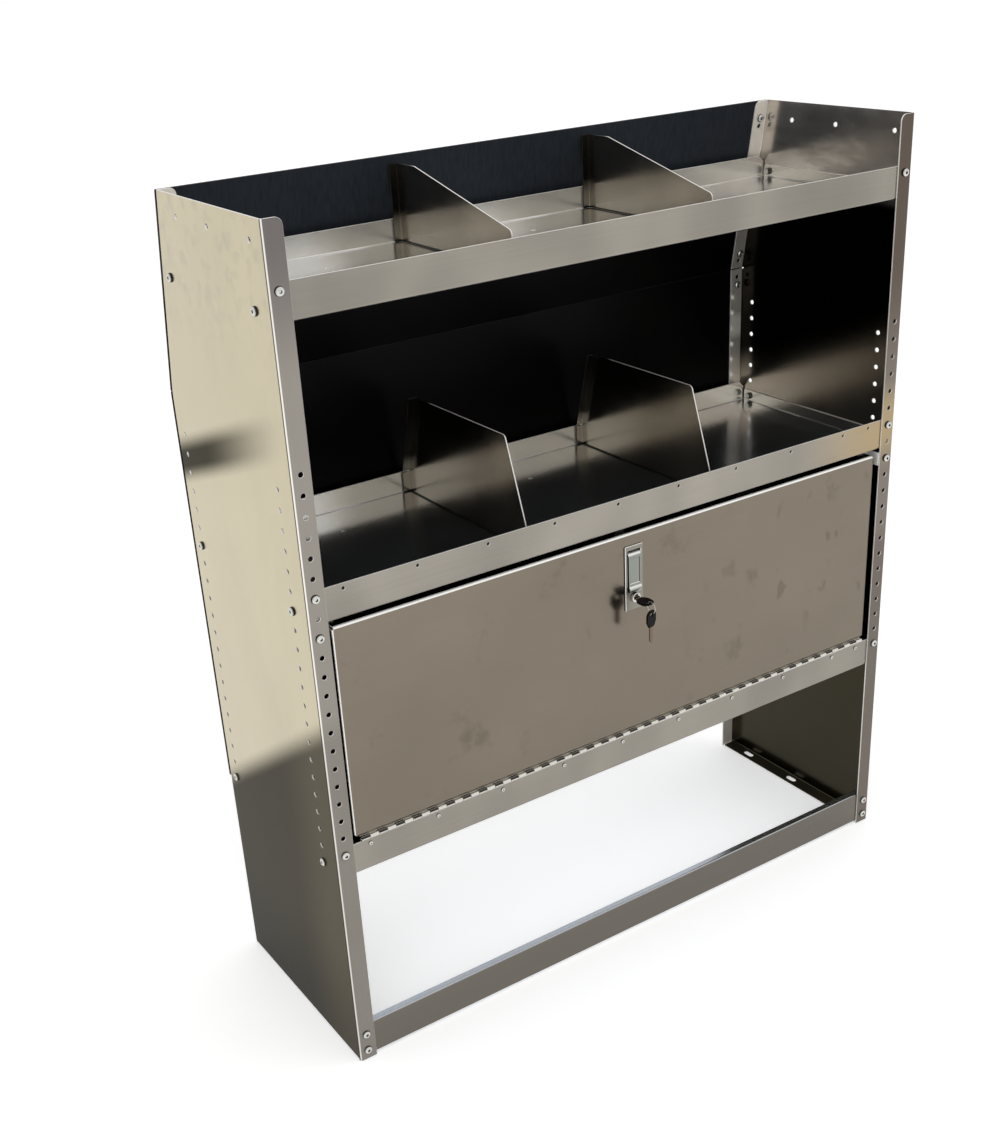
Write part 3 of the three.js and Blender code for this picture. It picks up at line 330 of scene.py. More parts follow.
def folded_section(path, thickness, radius):
    """The outline of a bent strip on edge. The path follows one face, with metal to its left."""
    path = [Vector(point) for point in path]

    def left(direction):
        return Vector((-direction.y, direction.x))

    first = (path[1] - path[0]).normalized()
    near, far = [path[0]], [path[0] + left(first) * thickness]
    for before_point, corner, after_point in zip(path, path[1:], path[2:]):
        before = (corner - before_point).normalized()
        after = (after_point - corner).normalized()
        turn = math.atan2(before.cross(after), before.dot(after))
        side = math.copysign(1, turn)
        near_radius = radius if side > 0 else radius - thickness
        far_radius = radius - thickness if side > 0 else radius
        centre = corner - before * near_radius * math.tan(abs(turn) / 2)
        centre += left(before) * side * near_radius
        start_way = left(before) * -side
        start = math.atan2(start_way.y, start_way.x)
        near += arc_points(centre, near_radius, start, turn, FOLD_STEPS)
        far += arc_points(centre, far_radius, start, turn, FOLD_STEPS)
    last = (path[-1] - path[-2]).normalized()
    near.append(path[-1])
    far.append(path[-1] + left(last) * thickness)
    return near + far[::-1]


def shrunk(loop, distance):
    """The loop moved into the metal: inwards for an outline, outwards for a hole."""
    moved = []
    for place, point in enumerate(loop):
        before = (point - loop[place - 1]).normalized()
        after = (loop[(place + 1) % len(loop)] - point).normalized()
        first = Vector((-before.y, before.x))
        second = Vector((-after.y, after.x))
        mitre = max(MITRE_LIMIT, 1 + first.dot(second))
        moved.append(point + (first + second) * distance / mitre)
    return moved


class Bend(NamedTuple):
    """A bend of a flat sheet: a point where it starts, the way out across it, and its reach."""
    start: Vector
    out: Vector
    radius: float
    angle: float = QUARTER
    low: float = -BEYOND_SHEET
    high: float = BEYOND_SHEET

    def measured(self, u, v):
        offset = Vector((u, v)) - Vector(self.start)
        out = Vector(self.out)
        return offset.dot(out), offset.dot(Vector((-out.y, out.x)))

    def covers(self, u, v, margin=1e-4):
        across, along = self.measured(u, v)
        return across > margin and self.low - margin <= along <= self.high + margin


def flat_length(width, radius=BEND_RADIUS, angle=QUARTER):
    """How far a flange of this folded width reaches beyond its bend line, measured flat."""
    return radius * angle + width - radius


def folded(u, v, depth, bends):
    """Where a point of the flat sheet, at a depth below its outer face, goes once it is bent."""
    for bend in bends:
        if not bend.covers(u, v):
            continue
        across, along = bend.measured(u, v)
        out = Vector(bend.out)
        base = Vector(bend.start) + Vector((-out.y, out.x)) * along
        arm = bend.radius - depth
        angle = min(across / bend.radius, bend.angle)
        extra = max(0.0, across - bend.radius * bend.angle)
        reach = arm * math.sin(angle) + extra * math.cos(angle)
        rise = bend.radius - arm * math.cos(angle) + extra * math.sin(angle)
        place = base + out * reach
        return place.x, place.y, rise
    return u, v, depth


class Shape:
    """The points, in millimetres, and the faces of one piece while it is being built."""

    def __init__(self):
        self.points = []
        self.faces = []
        self.slots = []

    def add(self, points, faces, slots):
        first = len(self.points)
        self.points += [Vector(point) for point in points]
        self.faces += [[first + corner for corner in face] for face in faces]
        self.slots += slots
        return self

    def add_rings(self, rings):
        """A closed skin over rings of points, with a cap on the first and on the last."""
        count = len(rings[0])
        points = [point for ring in rings for point in ring]
        faces = [list(range(count)),
                 list(range(len(points) - 1, len(points) - count - 1, -1))]
        for row in range(len(rings) - 1):
            for place in range(count):
                following = (place + 1) % count
                faces.append([row * count + place, (row + 1) * count + place,
                              (row + 1) * count + following, row * count + following])
        return self.add(points, faces, [0] * len(faces))

    def add_sheet(self, loops, thickness, place, bends=(), chamfer=EDGE_CHAMFER,
                  edge_slot=0, ribs=None):
        """A flat sheet with chamfered edges, cut by its loops, bent, and put in place."""
        sheet = flat_sheet(loops, thickness, chamfer, edge_slot)
        for bend in bends:
            cut_bend(sheet, bend)
        if ribs:
            cut_ribs(sheet, ribs)
        sheet.verts.index_update()
        points = []
        for vertex in sheet.verts:
            u, v, depth = vertex.co
            if ribs:
                depth = ribs.depth_at(u, depth, thickness)
            points.append(place(*folded(u, v, depth, bends)))
        faces = [[vertex.index for vertex in face.verts] for face in sheet.faces]
        slots = [face.material_index for face in sheet.faces]
        sheet.free()
        return self.add(points, faces, slots)

    def make(self, name, body, nodes, slot, *materials):
        """Turns the shape into a piece that rides on a body and stands for frame nodes."""
        mesh = bpy.data.meshes.new(name)
        mesh.from_pydata([point * MILLIMETRE for point in self.points], [], self.faces)
        for polygon, place in zip(mesh.polygons, self.slots):
            polygon.material_index = place
        working = bmesh.new()
        working.from_mesh(mesh)
        bmesh.ops.recalc_face_normals(working, faces=working.faces)
        working.to_mesh(mesh)
        working.free()
        mesh.shade_smooth()
        mesh.set_sharp_from_angle(angle=SHARP_EDGE)
        for material in materials:
            mesh.materials.append(material)
        piece = bpy.data.objects.new(name, mesh)
        bpy.context.collection.objects.link(piece)
        weighted = piece.modifiers.new("Flat faces stay flat", "WEIGHTED_NORMAL")
        weighted.keep_sharp = True
        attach(piece, body)
        if nodes:
            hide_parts(*nodes)


def flat_sheet(loops, thickness, chamfer, edge_slot):
    """A flat sheet as a bmesh. The first loop is its outline and the others are its holes."""
    inner = [shrunk(loop, chamfer) for loop in loops]
    flat = [point for loop in inner for point in loop]
    owners, first = [], 0
    for loop in inner:
        owners.append(list(range(first, first + len(loop))))
        first += len(loop)
    counterclockwise = [owners[0]] + [owner[::-1] for owner in owners[1:]]
    inside_only = 1
    found = delaunay_2d_cdt(flat, [], counterclockwise, inside_only, SAME_POINT)
    places, triangles, sources, triangle_owners = found[0], found[2], found[3], found[5]
    place_of = {source: index for index, group in enumerate(sources) for source in group}

    sheet = bmesh.new()
    outer_face = [sheet.verts.new((point.x, point.y, 0)) for point in places]
    inner_face = [sheet.verts.new((point.x, point.y, thickness)) for point in places]
    for triangle, owner in zip(triangles, triangle_owners):
        if list(owner) == [0]:
            sheet.faces.new([outer_face[corner] for corner in reversed(triangle)])
            sheet.faces.new([inner_face[corner] for corner in triangle])
    for loop, owner in zip(loops, owners):
        rings = [
            [outer_face[place_of[index]] for index in owner],
            [sheet.verts.new((point.x, point.y, chamfer)) for point in loop],
            [sheet.verts.new((point.x, point.y, thickness - chamfer)) for point in loop],
            [inner_face[place_of[index]] for index in owner],
        ]
        for lower, upper in zip(rings, rings[1:]):
            for place in range(len(loop)):
                before = place - 1
                face = sheet.faces.new([lower[before], lower[place], upper[place], upper[before]])
                face.material_index = edge_slot
    return sheet


def cut_bend(sheet, bend):
    """Cuts the sheet along the lines between which it bends."""
    steps = max(2, round(bend.angle / QUARTER * bpy.context.scene.shelving_sheets.bend_steps))
    out = Vector(bend.out).to_3d()
    for step in range(steps + 1):
        across = bend.radius * bend.angle * step / steps
        faces = [face for face in sheet.faces
                 if any(bend.covers(*vertex.co.xy) for vertex in face.verts)]
        cut_along(sheet, faces, Vector(bend.start).to_3d() + out * across, out)


def cut_along(sheet, faces, point, normal):
    edges = {edge for face in faces for edge in face.edges}
    vertices = {vertex for face in faces for vertex in face.verts}
    bmesh.ops.bisect_plane(sheet, geom=[*vertices, *edges, *faces], dist=ON_THE_LINE,
                           plane_co=point, plane_no=normal)


class Ribs(NamedTuple):
    """Fine upright ribs on both faces of a sheet."""
    low: float
    high: float
    pitch: float
    depth: float

    def depth_at(self, u, depth, thickness):
        in_rib = round((u - self.low) / (self.pitch / 2)) % 2
        if not in_rib or not self.low < u < self.high:
            return depth
        return self.depth if depth < thickness / 2 else thickness - self.depth


def cut_ribs(sheet, ribs):
    count = int((ribs.high - ribs.low) / (ribs.pitch / 2))
    for step in range(1, count):
        line = Vector((ribs.low + step * ribs.pitch / 2, 0, 0))
        faces = [face for face in sheet.faces
                 if max(vertex.co.x for vertex in face.verts) > line.x]
        cut_along(sheet, faces, line, Vector((1, 0, 0)))


def mirrored(place):
    """The same placing, mirrored left to right."""
    def mirror(*flat):
        x, y, z = place(*flat)
        return -x, y, z
    return mirror


def lean(x, y, along):
    """A place given from the rear bend, moved onto the leaning rear edge."""
    sine, cosine = math.sin(LEAN_ANGLE), math.cos(LEAN_ANGLE)
    return x, REAR_Y + y * cosine - along * sine, BEND_HEIGHT + y * sine + along * cosine


def fold_piece(name, node, look, loops, place, bends=(), thickness=SHEET,
               body="frame", slot=None, edge="edge"):
    """Folds a flat pattern into the piece that stands for one node, with sheared edges."""
    sheet = Shape().add_sheet(loops, thickness, place, bends, edge_slot=1)
    sheet.make(name, body, [node], slot or look, finish_named(look), finish_named(edge))


# Rings of turned pieces

def ring_about(axis, at, radius, centre, sides):
    """A ring of points about an axis. The radius is a number, or a function of the angle."""
    ring = []
    for step in range(sides):
        angle = 2 * math.pi * step / sides
        reach = radius(angle) if callable(radius) else radius
        a, b = centre[0] + reach * math.cos(angle), centre[1] + reach * math.sin(angle)
        ring.append((at, a, b) if axis == "x" else (a, at, b))
    return ring


def turned_rings(profile, centre, sides):
    """A piece turned along Y. Its profile is pairs of a radius and a place along Y."""
    return [ring_about("y", at, radius, centre, sides) for radius, at in profile]


def rod_rings(box, ends, sides):
    """A rod along X. Its ends are pairs of a distance from the tip and a share of its radius."""
    middle, reach = box.middle, box.high.x
    radius = box.high.z - middle.z
    rings = [(inset - reach, share) for inset, share in ends]
    rings += [(reach - inset, share) for inset, share in reversed(ends)]
    return [ring_about("x", x, radius * share, (middle.y, middle.z), sides)
            for x, share in rings]


# Materials

# Sockets of a Mix node that mixes colours
MIX_SHARE, MIX_FIRST, MIX_SECOND, MIX_RESULT = 0, 6, 7, 2


def linear(colour):
    """A colour as it is seen on a screen, turned into what a shader takes."""
    return tuple(part / 12.92 if part <= 0.04045 else ((part + 0.055) / 1.055) ** 2.4
                 for part in colour) + (1.0,)


def seen_rays(tree):
    """A value that is 1 for the camera's own rays, mirrored ones and those through glass."""
    light_path = tree.nodes.new("ShaderNodeLightPath")
    total = light_path.outputs["Is Camera Ray"]
    for kind in ("Is Glossy Ray", "Is Transmission Ray"):
        larger = tree.nodes.new("ShaderNodeMath")
        larger.operation = "MAXIMUM"
        tree.links.new(total, larger.inputs[0])
        tree.links.new(light_path.outputs[kind], larger.inputs[1])
        total = larger.outputs[0]
    return total


class Finish:
    """A material built from nodes, with short calls for the nodes that it needs."""

    def __init__(self, name, metallic=1.0, roughness=0.3, specular=0.5):
        self.material = bpy.data.materials.new(name)
        self.material.use_nodes = True
        self.tree = self.material.node_tree
        self.shader = self.tree.nodes["Principled BSDF"]
        self.shader.inputs["Metallic"].default_value = metallic
        self.shader.inputs["Roughness"].default_value = roughness
        self.shader.inputs["Specular IOR Level"].default_value = specular
        coordinates = self.node("ShaderNodeTexCoord").outputs
        self.place = coordinates["Object"]
        self.x, self.y, self.z = self.parts(self.place)
        self.facing_x, self.facing_y, self.facing_z = self.parts(coordinates["Normal"])

    def node(self, kind, *inputs, **settings):
        made = self.tree.nodes.new(kind)
        for key, value in settings.items():
            setattr(made, key, value)
        for socket, value in zip(made.inputs, inputs):
            self.feed(socket, value)
        return made

    def feed(self, socket, value):
        if isinstance(value, bpy.types.NodeSocket):
            self.tree.links.new(value, socket)
        elif value is not None:
            socket.default_value = value

    def parts(self, vector):
        return tuple(self.node("ShaderNodeSeparateXYZ", vector).outputs)

    def math(self, operation, first, second=0.0, third=0.0):
        return self.node("ShaderNodeMath", first, second, third, operation=operation).outputs[0]

    def line(self, *terms):
        """A weighted sum of values: pairs of a value and its weight, then a number to add."""
        total = terms[-1]
        for value, weight in terms[:-1]:
            total = self.math("MULTIPLY_ADD", value, weight, total)
        return total

    def share(self, value, low, high):
        """Rises smoothly from 0 to 1 as the value goes from low to high."""
        made = self.node("ShaderNodeMapRange", value, low, high, 0.0, 1.0,
                         interpolation_type="SMOOTHSTEP", clamp=True)
        return made.outputs[0]

    def blend(self, share, first, second, way="MIX"):
        """Goes from the first colour to the second one as the share goes from 0 to 1."""
        made = self.node("ShaderNodeMix", data_type="RGBA", blend_type=way, clamp_factor=True)
        self.feed(made.inputs[MIX_SHARE], share)
        self.feed(made.inputs[MIX_FIRST], first)
        self.feed(made.inputs[MIX_SECOND], second)
        return made.outputs[MIX_RESULT]

    def noise(self, scale, detail=3.0, roughness=0.5, stretch=(1, 1, 1), at=(0, 0, 0)):
        """Soft random clouds in object space, fewer to the metre where the stretch is small."""
        mapped = self.node("ShaderNodeMapping", self.place, at, None, stretch)
        made = self.node("ShaderNodeTexNoise", mapped.outputs[0])
        made.inputs["Scale"].default_value = scale
        made.inputs["Detail"].default_value = detail
        made.inputs["Roughness"].default_value = roughness
        return made.outputs[0]

    def tint(self, colour, value, low, high):
        """The colour times a factor that goes from low to high as the value goes from 0 to 1."""
        strength = self.line((value, high - low), low)
        grey = self.node("ShaderNodeCombineColor", strength, strength, strength).outputs[0]
        return self.blend(1.0, colour, grey, "MULTIPLY")

    def near(self, value, middle, core, reach):
        """Falls smoothly from 1 to 0 as the value leaves the middle, from the core to the reach."""
        distance = self.math("ABSOLUTE", self.math("SUBTRACT", value, middle))
        return self.share(distance, reach, core)

    def both(self, first, second):
        return self.math("MULTIPLY", first, second)

    def finish(self, colour, roughness=None, bump=None, bump_height=0.00004, bump_strength=0.3,
               metallic=None):
        """Wires up the shader. What isn't given keeps the value that it was made with."""
        self.feed(self.shader.inputs["Base Color"], colour)
        self.feed(self.shader.inputs["Roughness"], roughness)
        self.feed(self.shader.inputs["Metallic"], metallic)
        if bump is not None:
            made = self.node("ShaderNodeBump")
            made.inputs["Strength"].default_value = bump_strength
            made.inputs["Distance"].default_value = bump_height
            self.feed(made.inputs["Height"], bump)
            self.feed(self.shader.inputs["Normal"], made.outputs[0])
        return self.material


# Stretches a noise into fine lines from side to side
ALONG_X = (0.012, 1, 1)


def setting_names(settings):
    """The names of a group's own settings."""
    return [key for key in settings.bl_rna.properties.keys() if key not in ("rna_type", "name")]


def metal_colours():
    colours = bpy.context.scene.shelving_colours
    return {key: linear(getattr(colours, key)) for key in setting_names(colours)}


def panel_finish(side):
    """Bare sheet of an end panel. Its outer face has a painted reflection of a pale room with a
    dark band and floor.
    """
    colours = metal_colours()
    made = Finish(f"panel sheet {'left' if side < 0 else 'right'}", specular=0.0)
    grain = made.noise(260, 2, 0.5, (1, 1, 0.02))
    smears = made.noise(9, 4, 0.6, (1, 1, 0.7))
    spots = made.noise(46, 3, 0.55)
    wipes = made.share(made.noise(21, 5, 0.6, (1, 0.35, 1), (0.4, 0.1, 0.7)), 0.42, 0.64)

    # The outer face, a painted reflection: pale above, a soft dark band, and dark below a slanting
    # line
    room = made.tint(colours["web_pale"], smears, 0.88, 1.1)
    top_smear = made.both(made.share(made.z, 0.9, 1.06), made.share(spots, 0.46, 0.72))
    room = made.blend(made.both(top_smear, 0.25), room, colours["web_smear"])
    band_place = made.line((made.z, 1.0), (made.y, 0.34), -0.8345)
    band = made.both(made.near(band_place, 0.0, 0.008, 0.036), made.share(made.y, -0.16, 0.1))
    floor_place = made.line((made.z, 1.0), (made.y, 0.66), -0.4125)
    floor_share = made.share(floor_place, 0.024, -0.02)
    # Painted reflection of the dark floor, darker low down and lighter towards the front
    ground = made.tint(colours["web_dark"], made.share(made.z, 0.0, 0.2), 0.62, 1.0)
    ground = made.tint(ground, made.share(made.y, 0.0, -0.13), 1.0, 1.9)
    room = made.blend(band, room, colours["web_band"])
    room = made.blend(floor_share, room, ground)
    shade = made.math("MAXIMUM", band, floor_share)

    # The flange, a painted reflection of the room in front: greyer at the top, and on the right
    # with a painted warm gleam above the door
    if side < 0:
        flange = made.blend(made.share(made.z, 0.93, 1.1), colours["flange"],
                            colours["flange_top"])
    else:
        flange = made.blend(made.share(made.z, 0.7, 0.95), colours["flange_right"],
                            colours["flange_top_right"])
        flange = made.blend(made.near(made.z, 0.69, 0.015, 0.075), flange, colours["gleam"])
    flange = made.tint(flange, smears, 0.9, 1.08)

    # The front bend of the left panel: a painted dark reflection line and a painted highlight line
    # between web and flange
    turned = made.both(made.facing_y, -1.0)
    outer = made.blend(made.share(turned, 0.05, 0.45), room, colours["web_dark"])
    if side < 0:
        outer = made.blend(made.share(turned, 0.45, 0.72), outer, colours["cut_edge"])
    outer = made.blend(made.share(turned, 0.8, 0.96), outer, flange)
    # The rear flanges' front faces are painted pale as lit faces
    behind = made.both(made.share(turned, 0.5, 0.8), made.share(made.y, 0.04, 0.06))
    outer = made.blend(behind, outer, colours["rear_flange"])

    # Faces that look into the bays, painted with reflections and light: painted light in the top
    # bay, a painted black reflection of the back sheet below it, a lighter painted reflection above
    # the middle tray, and brown at the foot
    bay_place = made.line((made.z, 1.0), (made.y, 0.4), 0.0)
    bay = made.tint(colours["inner_face"], made.share(bay_place, 0.81, 0.735), 0.03, 1.0)
    bay = made.blend(made.share(made.z, 0.985, 1.0), bay,
                     made.tint(colours["inner_top"], wipes, 0.7, 1.15))
    bay = made.blend(made.share(made.z, 0.34, 0.3), bay, colours["inner_foot"])
    inner = made.tint(bay, smears, 0.85, 1.08)
    inward = made.share(made.both(made.facing_x, -side), 0.05, 0.4)
    colour = made.blend(inward, outer, inner)
    colour = made.blend(made.share(made.facing_y, 0.5, 0.9), colour, colours["flange"])
    roughness = made.line((smears, 0.12), (grain, 0.05), 0.13)
    open_above = made.share(made.z, 0.985, 1.0)
    matt = made.math("MAXIMUM", made.both(shade, 0.7),
                     made.both(behind, made.line((open_above, 0.4), 0.35)))
    if side > 0:
        matt = made.math("MAXIMUM", matt, made.both(made.near(turned, 0.72, 0.18, 0.25), 0.9))
    metallic = made.line((made.both(matt, made.line((inward, -1.0), 1.0)), -1.0),
                         (made.both(inward, open_above), -0.07), 1.0)
    return made.finish(made.tint(colour, grain, 0.97, 1.03), roughness, grain, metallic=metallic)


def tray_finish():
    """Bare sheet of the trays: a lip in front painted grey as a reflection, floors painted bright
    with reflected light, fine grain along the sheet.
    """
    colours = metal_colours()
    made = Finish("tray sheet", specular=0.2)
    grain = made.noise(330, 3, 0.6, ALONG_X)
    smears = made.noise(11, 4, 0.6)
    broad = made.share(made.noise(5.5, 2, 0.5, (1, 0, 0.6)), 0.32, 0.68)

    # The front lips, a painted reflection of the room in front, and the rail, with a painted warm
    # gleam at the right end of the middle lip
    front = made.tint(colours["lip"], broad, 0.82, 1.1)
    gleam = made.both(made.share(made.x, 0.28, 0.46), made.near(made.z, 0.675, 0.03, 0.06))
    front = made.blend(gleam, front, colours["gleam"])
    front = made.blend(made.share(made.z, 0.075, 0.06), front, colours["rail"])
    # The rear lips' inner faces are painted pale with reflected light
    behind = made.share(made.y, 0.02, 0.05)
    front = made.blend(behind, front, made.tint(colours["rear_lip"], smears, 0.8, 1.15))

    # The floors, painted bright with reflected light: the middle one has painted shade towards the
    # door
    shaded = made.both(made.share(made.z, 0.95, 0.9), made.share(made.y, 0.14, 0.0))
    floor = made.tint(colours["tray_floor"], shaded, 1.0, 0.8)
    floor = made.tint(floor, smears, 0.86, 1.1)

    forward = made.share(made.both(made.facing_y, -1.0), 0.35, 0.9)
    colour = made.blend(forward, floor, front)
    # The end flanges take the rear lips' painted light
    colour = made.blend(made.share(made.math("ABSOLUTE", made.facing_x), 0.5, 0.9), colour,
                        colours["rear_lip"])
    roughness = made.line((smears, 0.1), (grain, 0.06), 0.1)
    bends = made.both(behind, made.near(made.facing_z, 0.68, 0.12, 0.26))
    metallic = made.line((made.both(behind, forward), -0.25), (shaded, -0.025), (bends, -0.4), 1.0)
    return made.finish(made.tint(colour, grain, 0.93, 1.06), roughness, grain, metallic=metallic)


def divider_finish():
    """Thinner bare sheet of the dividers, painted lighter along their front edges as a highlight.
    """
    colours = metal_colours()
    made = Finish("divider sheet", specular=0.2)
    grain = made.noise(300, 3, 0.6, (1, 0.02, 1))
    smears = made.noise(14, 3, 0.6)
    # Painted highlight towards the front edges, and a painted dark reflection in a band over the
    # middle dividers' upper part
    front = made.share(made.y, 0.0, -0.09)
    upper = made.both(made.near(made.z, 0.84, 0.06, 0.11), made.line((front, -1.0), 1.0))
    colour = made.tint(colours["divider"], smears, 0.85, 1.12)
    colour = made.tint(colour, front, 1.0, 1.5)
    colour = made.tint(colour, upper, 1.0, 0.5)

    # The rear flanges have painted shade, as dark as the back sheet above the trays' rear lips
    flange = made.both(made.share(made.math("ABSOLUTE", made.facing_y), 0.2, 0.6),
                       made.share(made.y, 0.09, 0.1))
    above = made.math("MAXIMUM", made.near(made.z, 0.84, 0.13, 0.15),
                      made.share(made.z, 1.03, 1.05))
    colour = made.tint(colour, made.both(flange, above), 1.0, 0.06)

    # A painted shadow line where each one stands on its tray
    for node in ("divider_top_left", "divider_middle_left"):
        foot = node_box(node).low.z * MILLIMETRE
        colour = made.tint(colour, made.near(made.z, foot, 0.0016, 0.0024), 1.0, 0.05)
    roughness = made.line((smears, 0.1), (grain, 0.05), 0.12)
    return made.finish(made.tint(colour, grain, 0.96, 1.04), roughness, grain)


def door_finish():
    """The door's bare sheet, duller than the trays as a painted reflection of the room in front,
    with finger marks and painted highlights on its bends.
    """
    colours = metal_colours()
    made = Finish("door sheet")
    grain = made.noise(300, 3, 0.6, ALONG_X)
    broad = made.noise(3.2, 3, 0.55, (1, 1, 1.5))
    marks = made.noise(13, 5, 0.62, (1, 1, 0.75), (0.3, 0, 0.2))
    prints = made.noise(34, 2, 0.4, (1, 1, 0.6), (0.1, 0, 0.9))
    colour = made.tint(colours["door"], broad, 0.84, 1.16)
    colour = made.blend(made.both(made.share(marks, 0.6, 0.72), 0.28), colour,
                        colours["web_dark"])
    handled = made.both(made.share(made.x, 0.02, 0.3), made.near(made.z, 0.52, 0.06, 0.14))
    fingers = made.both(handled, made.both(made.share(prints, 0.62, 0.68), 0.3))
    colour = made.blend(fingers, colour, colours["web_dark"])

    # Painted highlights where the bends catch the light above, below and on the left, and painted
    # shade on the top flange behind
    front = DOOR.low.y * MILLIMETRE
    rim = made.share(made.y, front + 0.0042, front + 0.0034)
    colour = made.blend(made.share(made.facing_z, 0.5, 0.8), colour, colours["web_dark"])
    bends = made.math("MAXIMUM", made.both(rim, made.share(made.facing_z, 0.04, 0.2)),
                      made.math("MAXIMUM", made.share(made.facing_z, -0.4, -0.75),
                                made.near(made.facing_x, -0.5, 0.2, 0.35)))
    colour = made.blend(bends, colour, colours["bright_bend"])
    roughness = made.line((marks, 0.14), (grain, 0.05), 0.09)
    return made.finish(made.tint(colour, grain, 0.96, 1.04), roughness, grain,
                       metallic=made.line((bends, -0.6), 1.0))


def edge_finish(name, shade_from=None):
    """Sheared edges, painted brighter than the sheets' faces as a highlight, with painted shade
    underneath and from a depth on.
    """
    colours = metal_colours()
    made = Finish(name, metallic=0.3)
    grain = made.noise(400, 2)
    # Painted shade on faces turned down, and on divider edges from a depth on
    edge_shade = made.share(made.facing_z, -0.3, -0.8)
    if shade_from is not None:
        edge_shade = made.math("MAXIMUM", edge_shade, made.share(made.y, shade_from, shade_from + 0.01))
    colour = made.blend(edge_shade, colours["cut_edge"], made.tint(colours["screw_dark"], edge_shade, 1, 0.4))
    return made.finish(made.tint(colour, grain, 0.9, 1.04), made.line((grain, 0.15), 0.22))


def back_finish():
    """Black plastic sheet with a soft sheen, streaked upwards, painted lighter as lit in the top
    bay with painted sheen on its streaks, and painted shade on its upper and lower edges.
    """
    colours = metal_colours()
    made = Finish("back sheet black", metallic=0.0, specular=0.06)
    drift = made.noise(5, 4, 0.6, (1, 1, 0.5))
    streaks = made.noise(300, 3, 0.6, (1, 1, 0.01))
    # Painted light in the top bay, with painted sheen along the streaks
    colour = made.blend(made.share(made.z, 0.98, 1.0), colours["back_sheet"],
                        made.tint(colours["back_sheet_top"], streaks, 0.55, 1.45))
    colour = made.tint(colour, drift, 0.7, 1.35)
    # Painted shade on the edges that face up and down
    colour = made.tint(colour, made.share(made.math("ABSOLUTE", made.facing_z), 0.5, 0.8), 1, 0.1)
    roughness = made.line((drift, 0.14), (streaks, 0.08), 0.22)
    return made.finish(colour, roughness, streaks, 0.00003, 0.25)


def plated(made, colour, cloud, roughness):
    """Wires up a plated piece, whose faint relief follows its clouds."""
    return made.finish(colour, made.line((cloud, 0.14), roughness), cloud, 0.00002, 0.2)


def plated_finish(name, key):
    """Bright plated steel for the door's hinge leaf, the lock, the key blades and the ring."""
    made = Finish(name)
    cloud = made.noise(120, 3, 0.6)
    return plated(made, made.tint(metal_colours()[key], cloud, 0.86, 1.08), cloud, 0.13)


def fixed_leaf_finish():
    """The hanging hinge leaf, whose knuckles carry a painted dark reflection above and catch the
    light below.
    """
    colours = metal_colours()
    made = Finish("hinge leaf fixed")
    cloud = made.noise(120, 3, 0.6)
    colour = made.tint(colours["hinge"], cloud, 0.86, 1.08)
    upper = made.both(made.share(made.facing_z, 0.05, 0.25), made.share(made.facing_z, 0.99, 0.9))
    return plated(made, made.blend(upper, colour, colours["screw_dark"]), cloud, 0.15)


def screw_finish(name, axis):
    """Bright zinc on the faces across the screw's axis, and painted shade round its rim and in its
    socket.
    """
    colours = metal_colours()
    made = Finish(name)
    cloud = made.noise(160, 3, 0.6)
    along = made.math("ABSOLUTE", made.facing_x if axis == "x" else made.facing_y)
    colour = made.blend(made.share(along, 0.3, 0.8), colours["screw_dark"], colours["zinc"])
    return plated(made, made.tint(colour, cloud, 0.8, 1.1), cloud, 0.12)


def latch_finish(name, key, roughness):
    """Satin cast metal of the latch, with painted highlights on its bevels, but a painted dark
    outline of shade on the lever.
    """
    colours = metal_colours()
    made = Finish(name, metallic=0.9)
    cast = made.noise(380, 3, 0.6)
    colour = made.tint(colours[key], cast, 0.9, 1.06)
    # Painted highlights on bevels and tops, painted shade on sides and undersides
    side_bevel = made.near(made.facing_x, -0.5, 0.25, 0.35)
    bright = made.share(made.facing_z, 0.25, 0.5)
    dark = made.math("MAXIMUM", made.share(made.math("ABSOLUTE", made.facing_x), 0.86, 0.95),
                     made.share(made.facing_z, -0.3, -0.6))
    if key == "latch_panel":
        dark = made.math("MAXIMUM", dark, side_bevel)
    else:
        bright = made.math("MAXIMUM", bright, side_bevel)
    colour = made.blend(made.both(bright, 0.8), colour, colours["bright_bend"])
    colour = made.blend(dark, colour, colours["latch_shade"])
    return made.finish(colour, made.line((cast, 0.12), roughness - 0.05), cast, 0.00004, 0.35)


def key_bow_finish():
    """Black moulded plastic with a fine grain."""
    made = Finish("key bow black", metallic=0.0, specular=0.06)
    fine = made.noise(700, 3, 0.6)
    colour = made.tint(metal_colours()["key_bow"], fine, 0.8, 1.2)
    return made.finish(colour, made.line((fine, 0.2), 0.28), fine, 0.00004, 0.4)


def floor_finish():
    """The pale floor, which glows a little where it is seen and still keeps the shadow."""
    made = Finish("studio floor", metallic=0.0, roughness=0.9)
    drift = made.noise(0.8, 2)
    settings = bpy.context.scene.shelving_stage
    glow = made.both(seen_rays(made.tree), settings.floor_glow)
    made.feed(made.shader.inputs["Emission Color"], (1, 1, 1, 1))
    made.feed(made.shader.inputs["Emission Strength"], glow)
    return made.finish(made.tint(linear(settings.floor_colour), drift, 0.995, 1.0))


finishes = {}


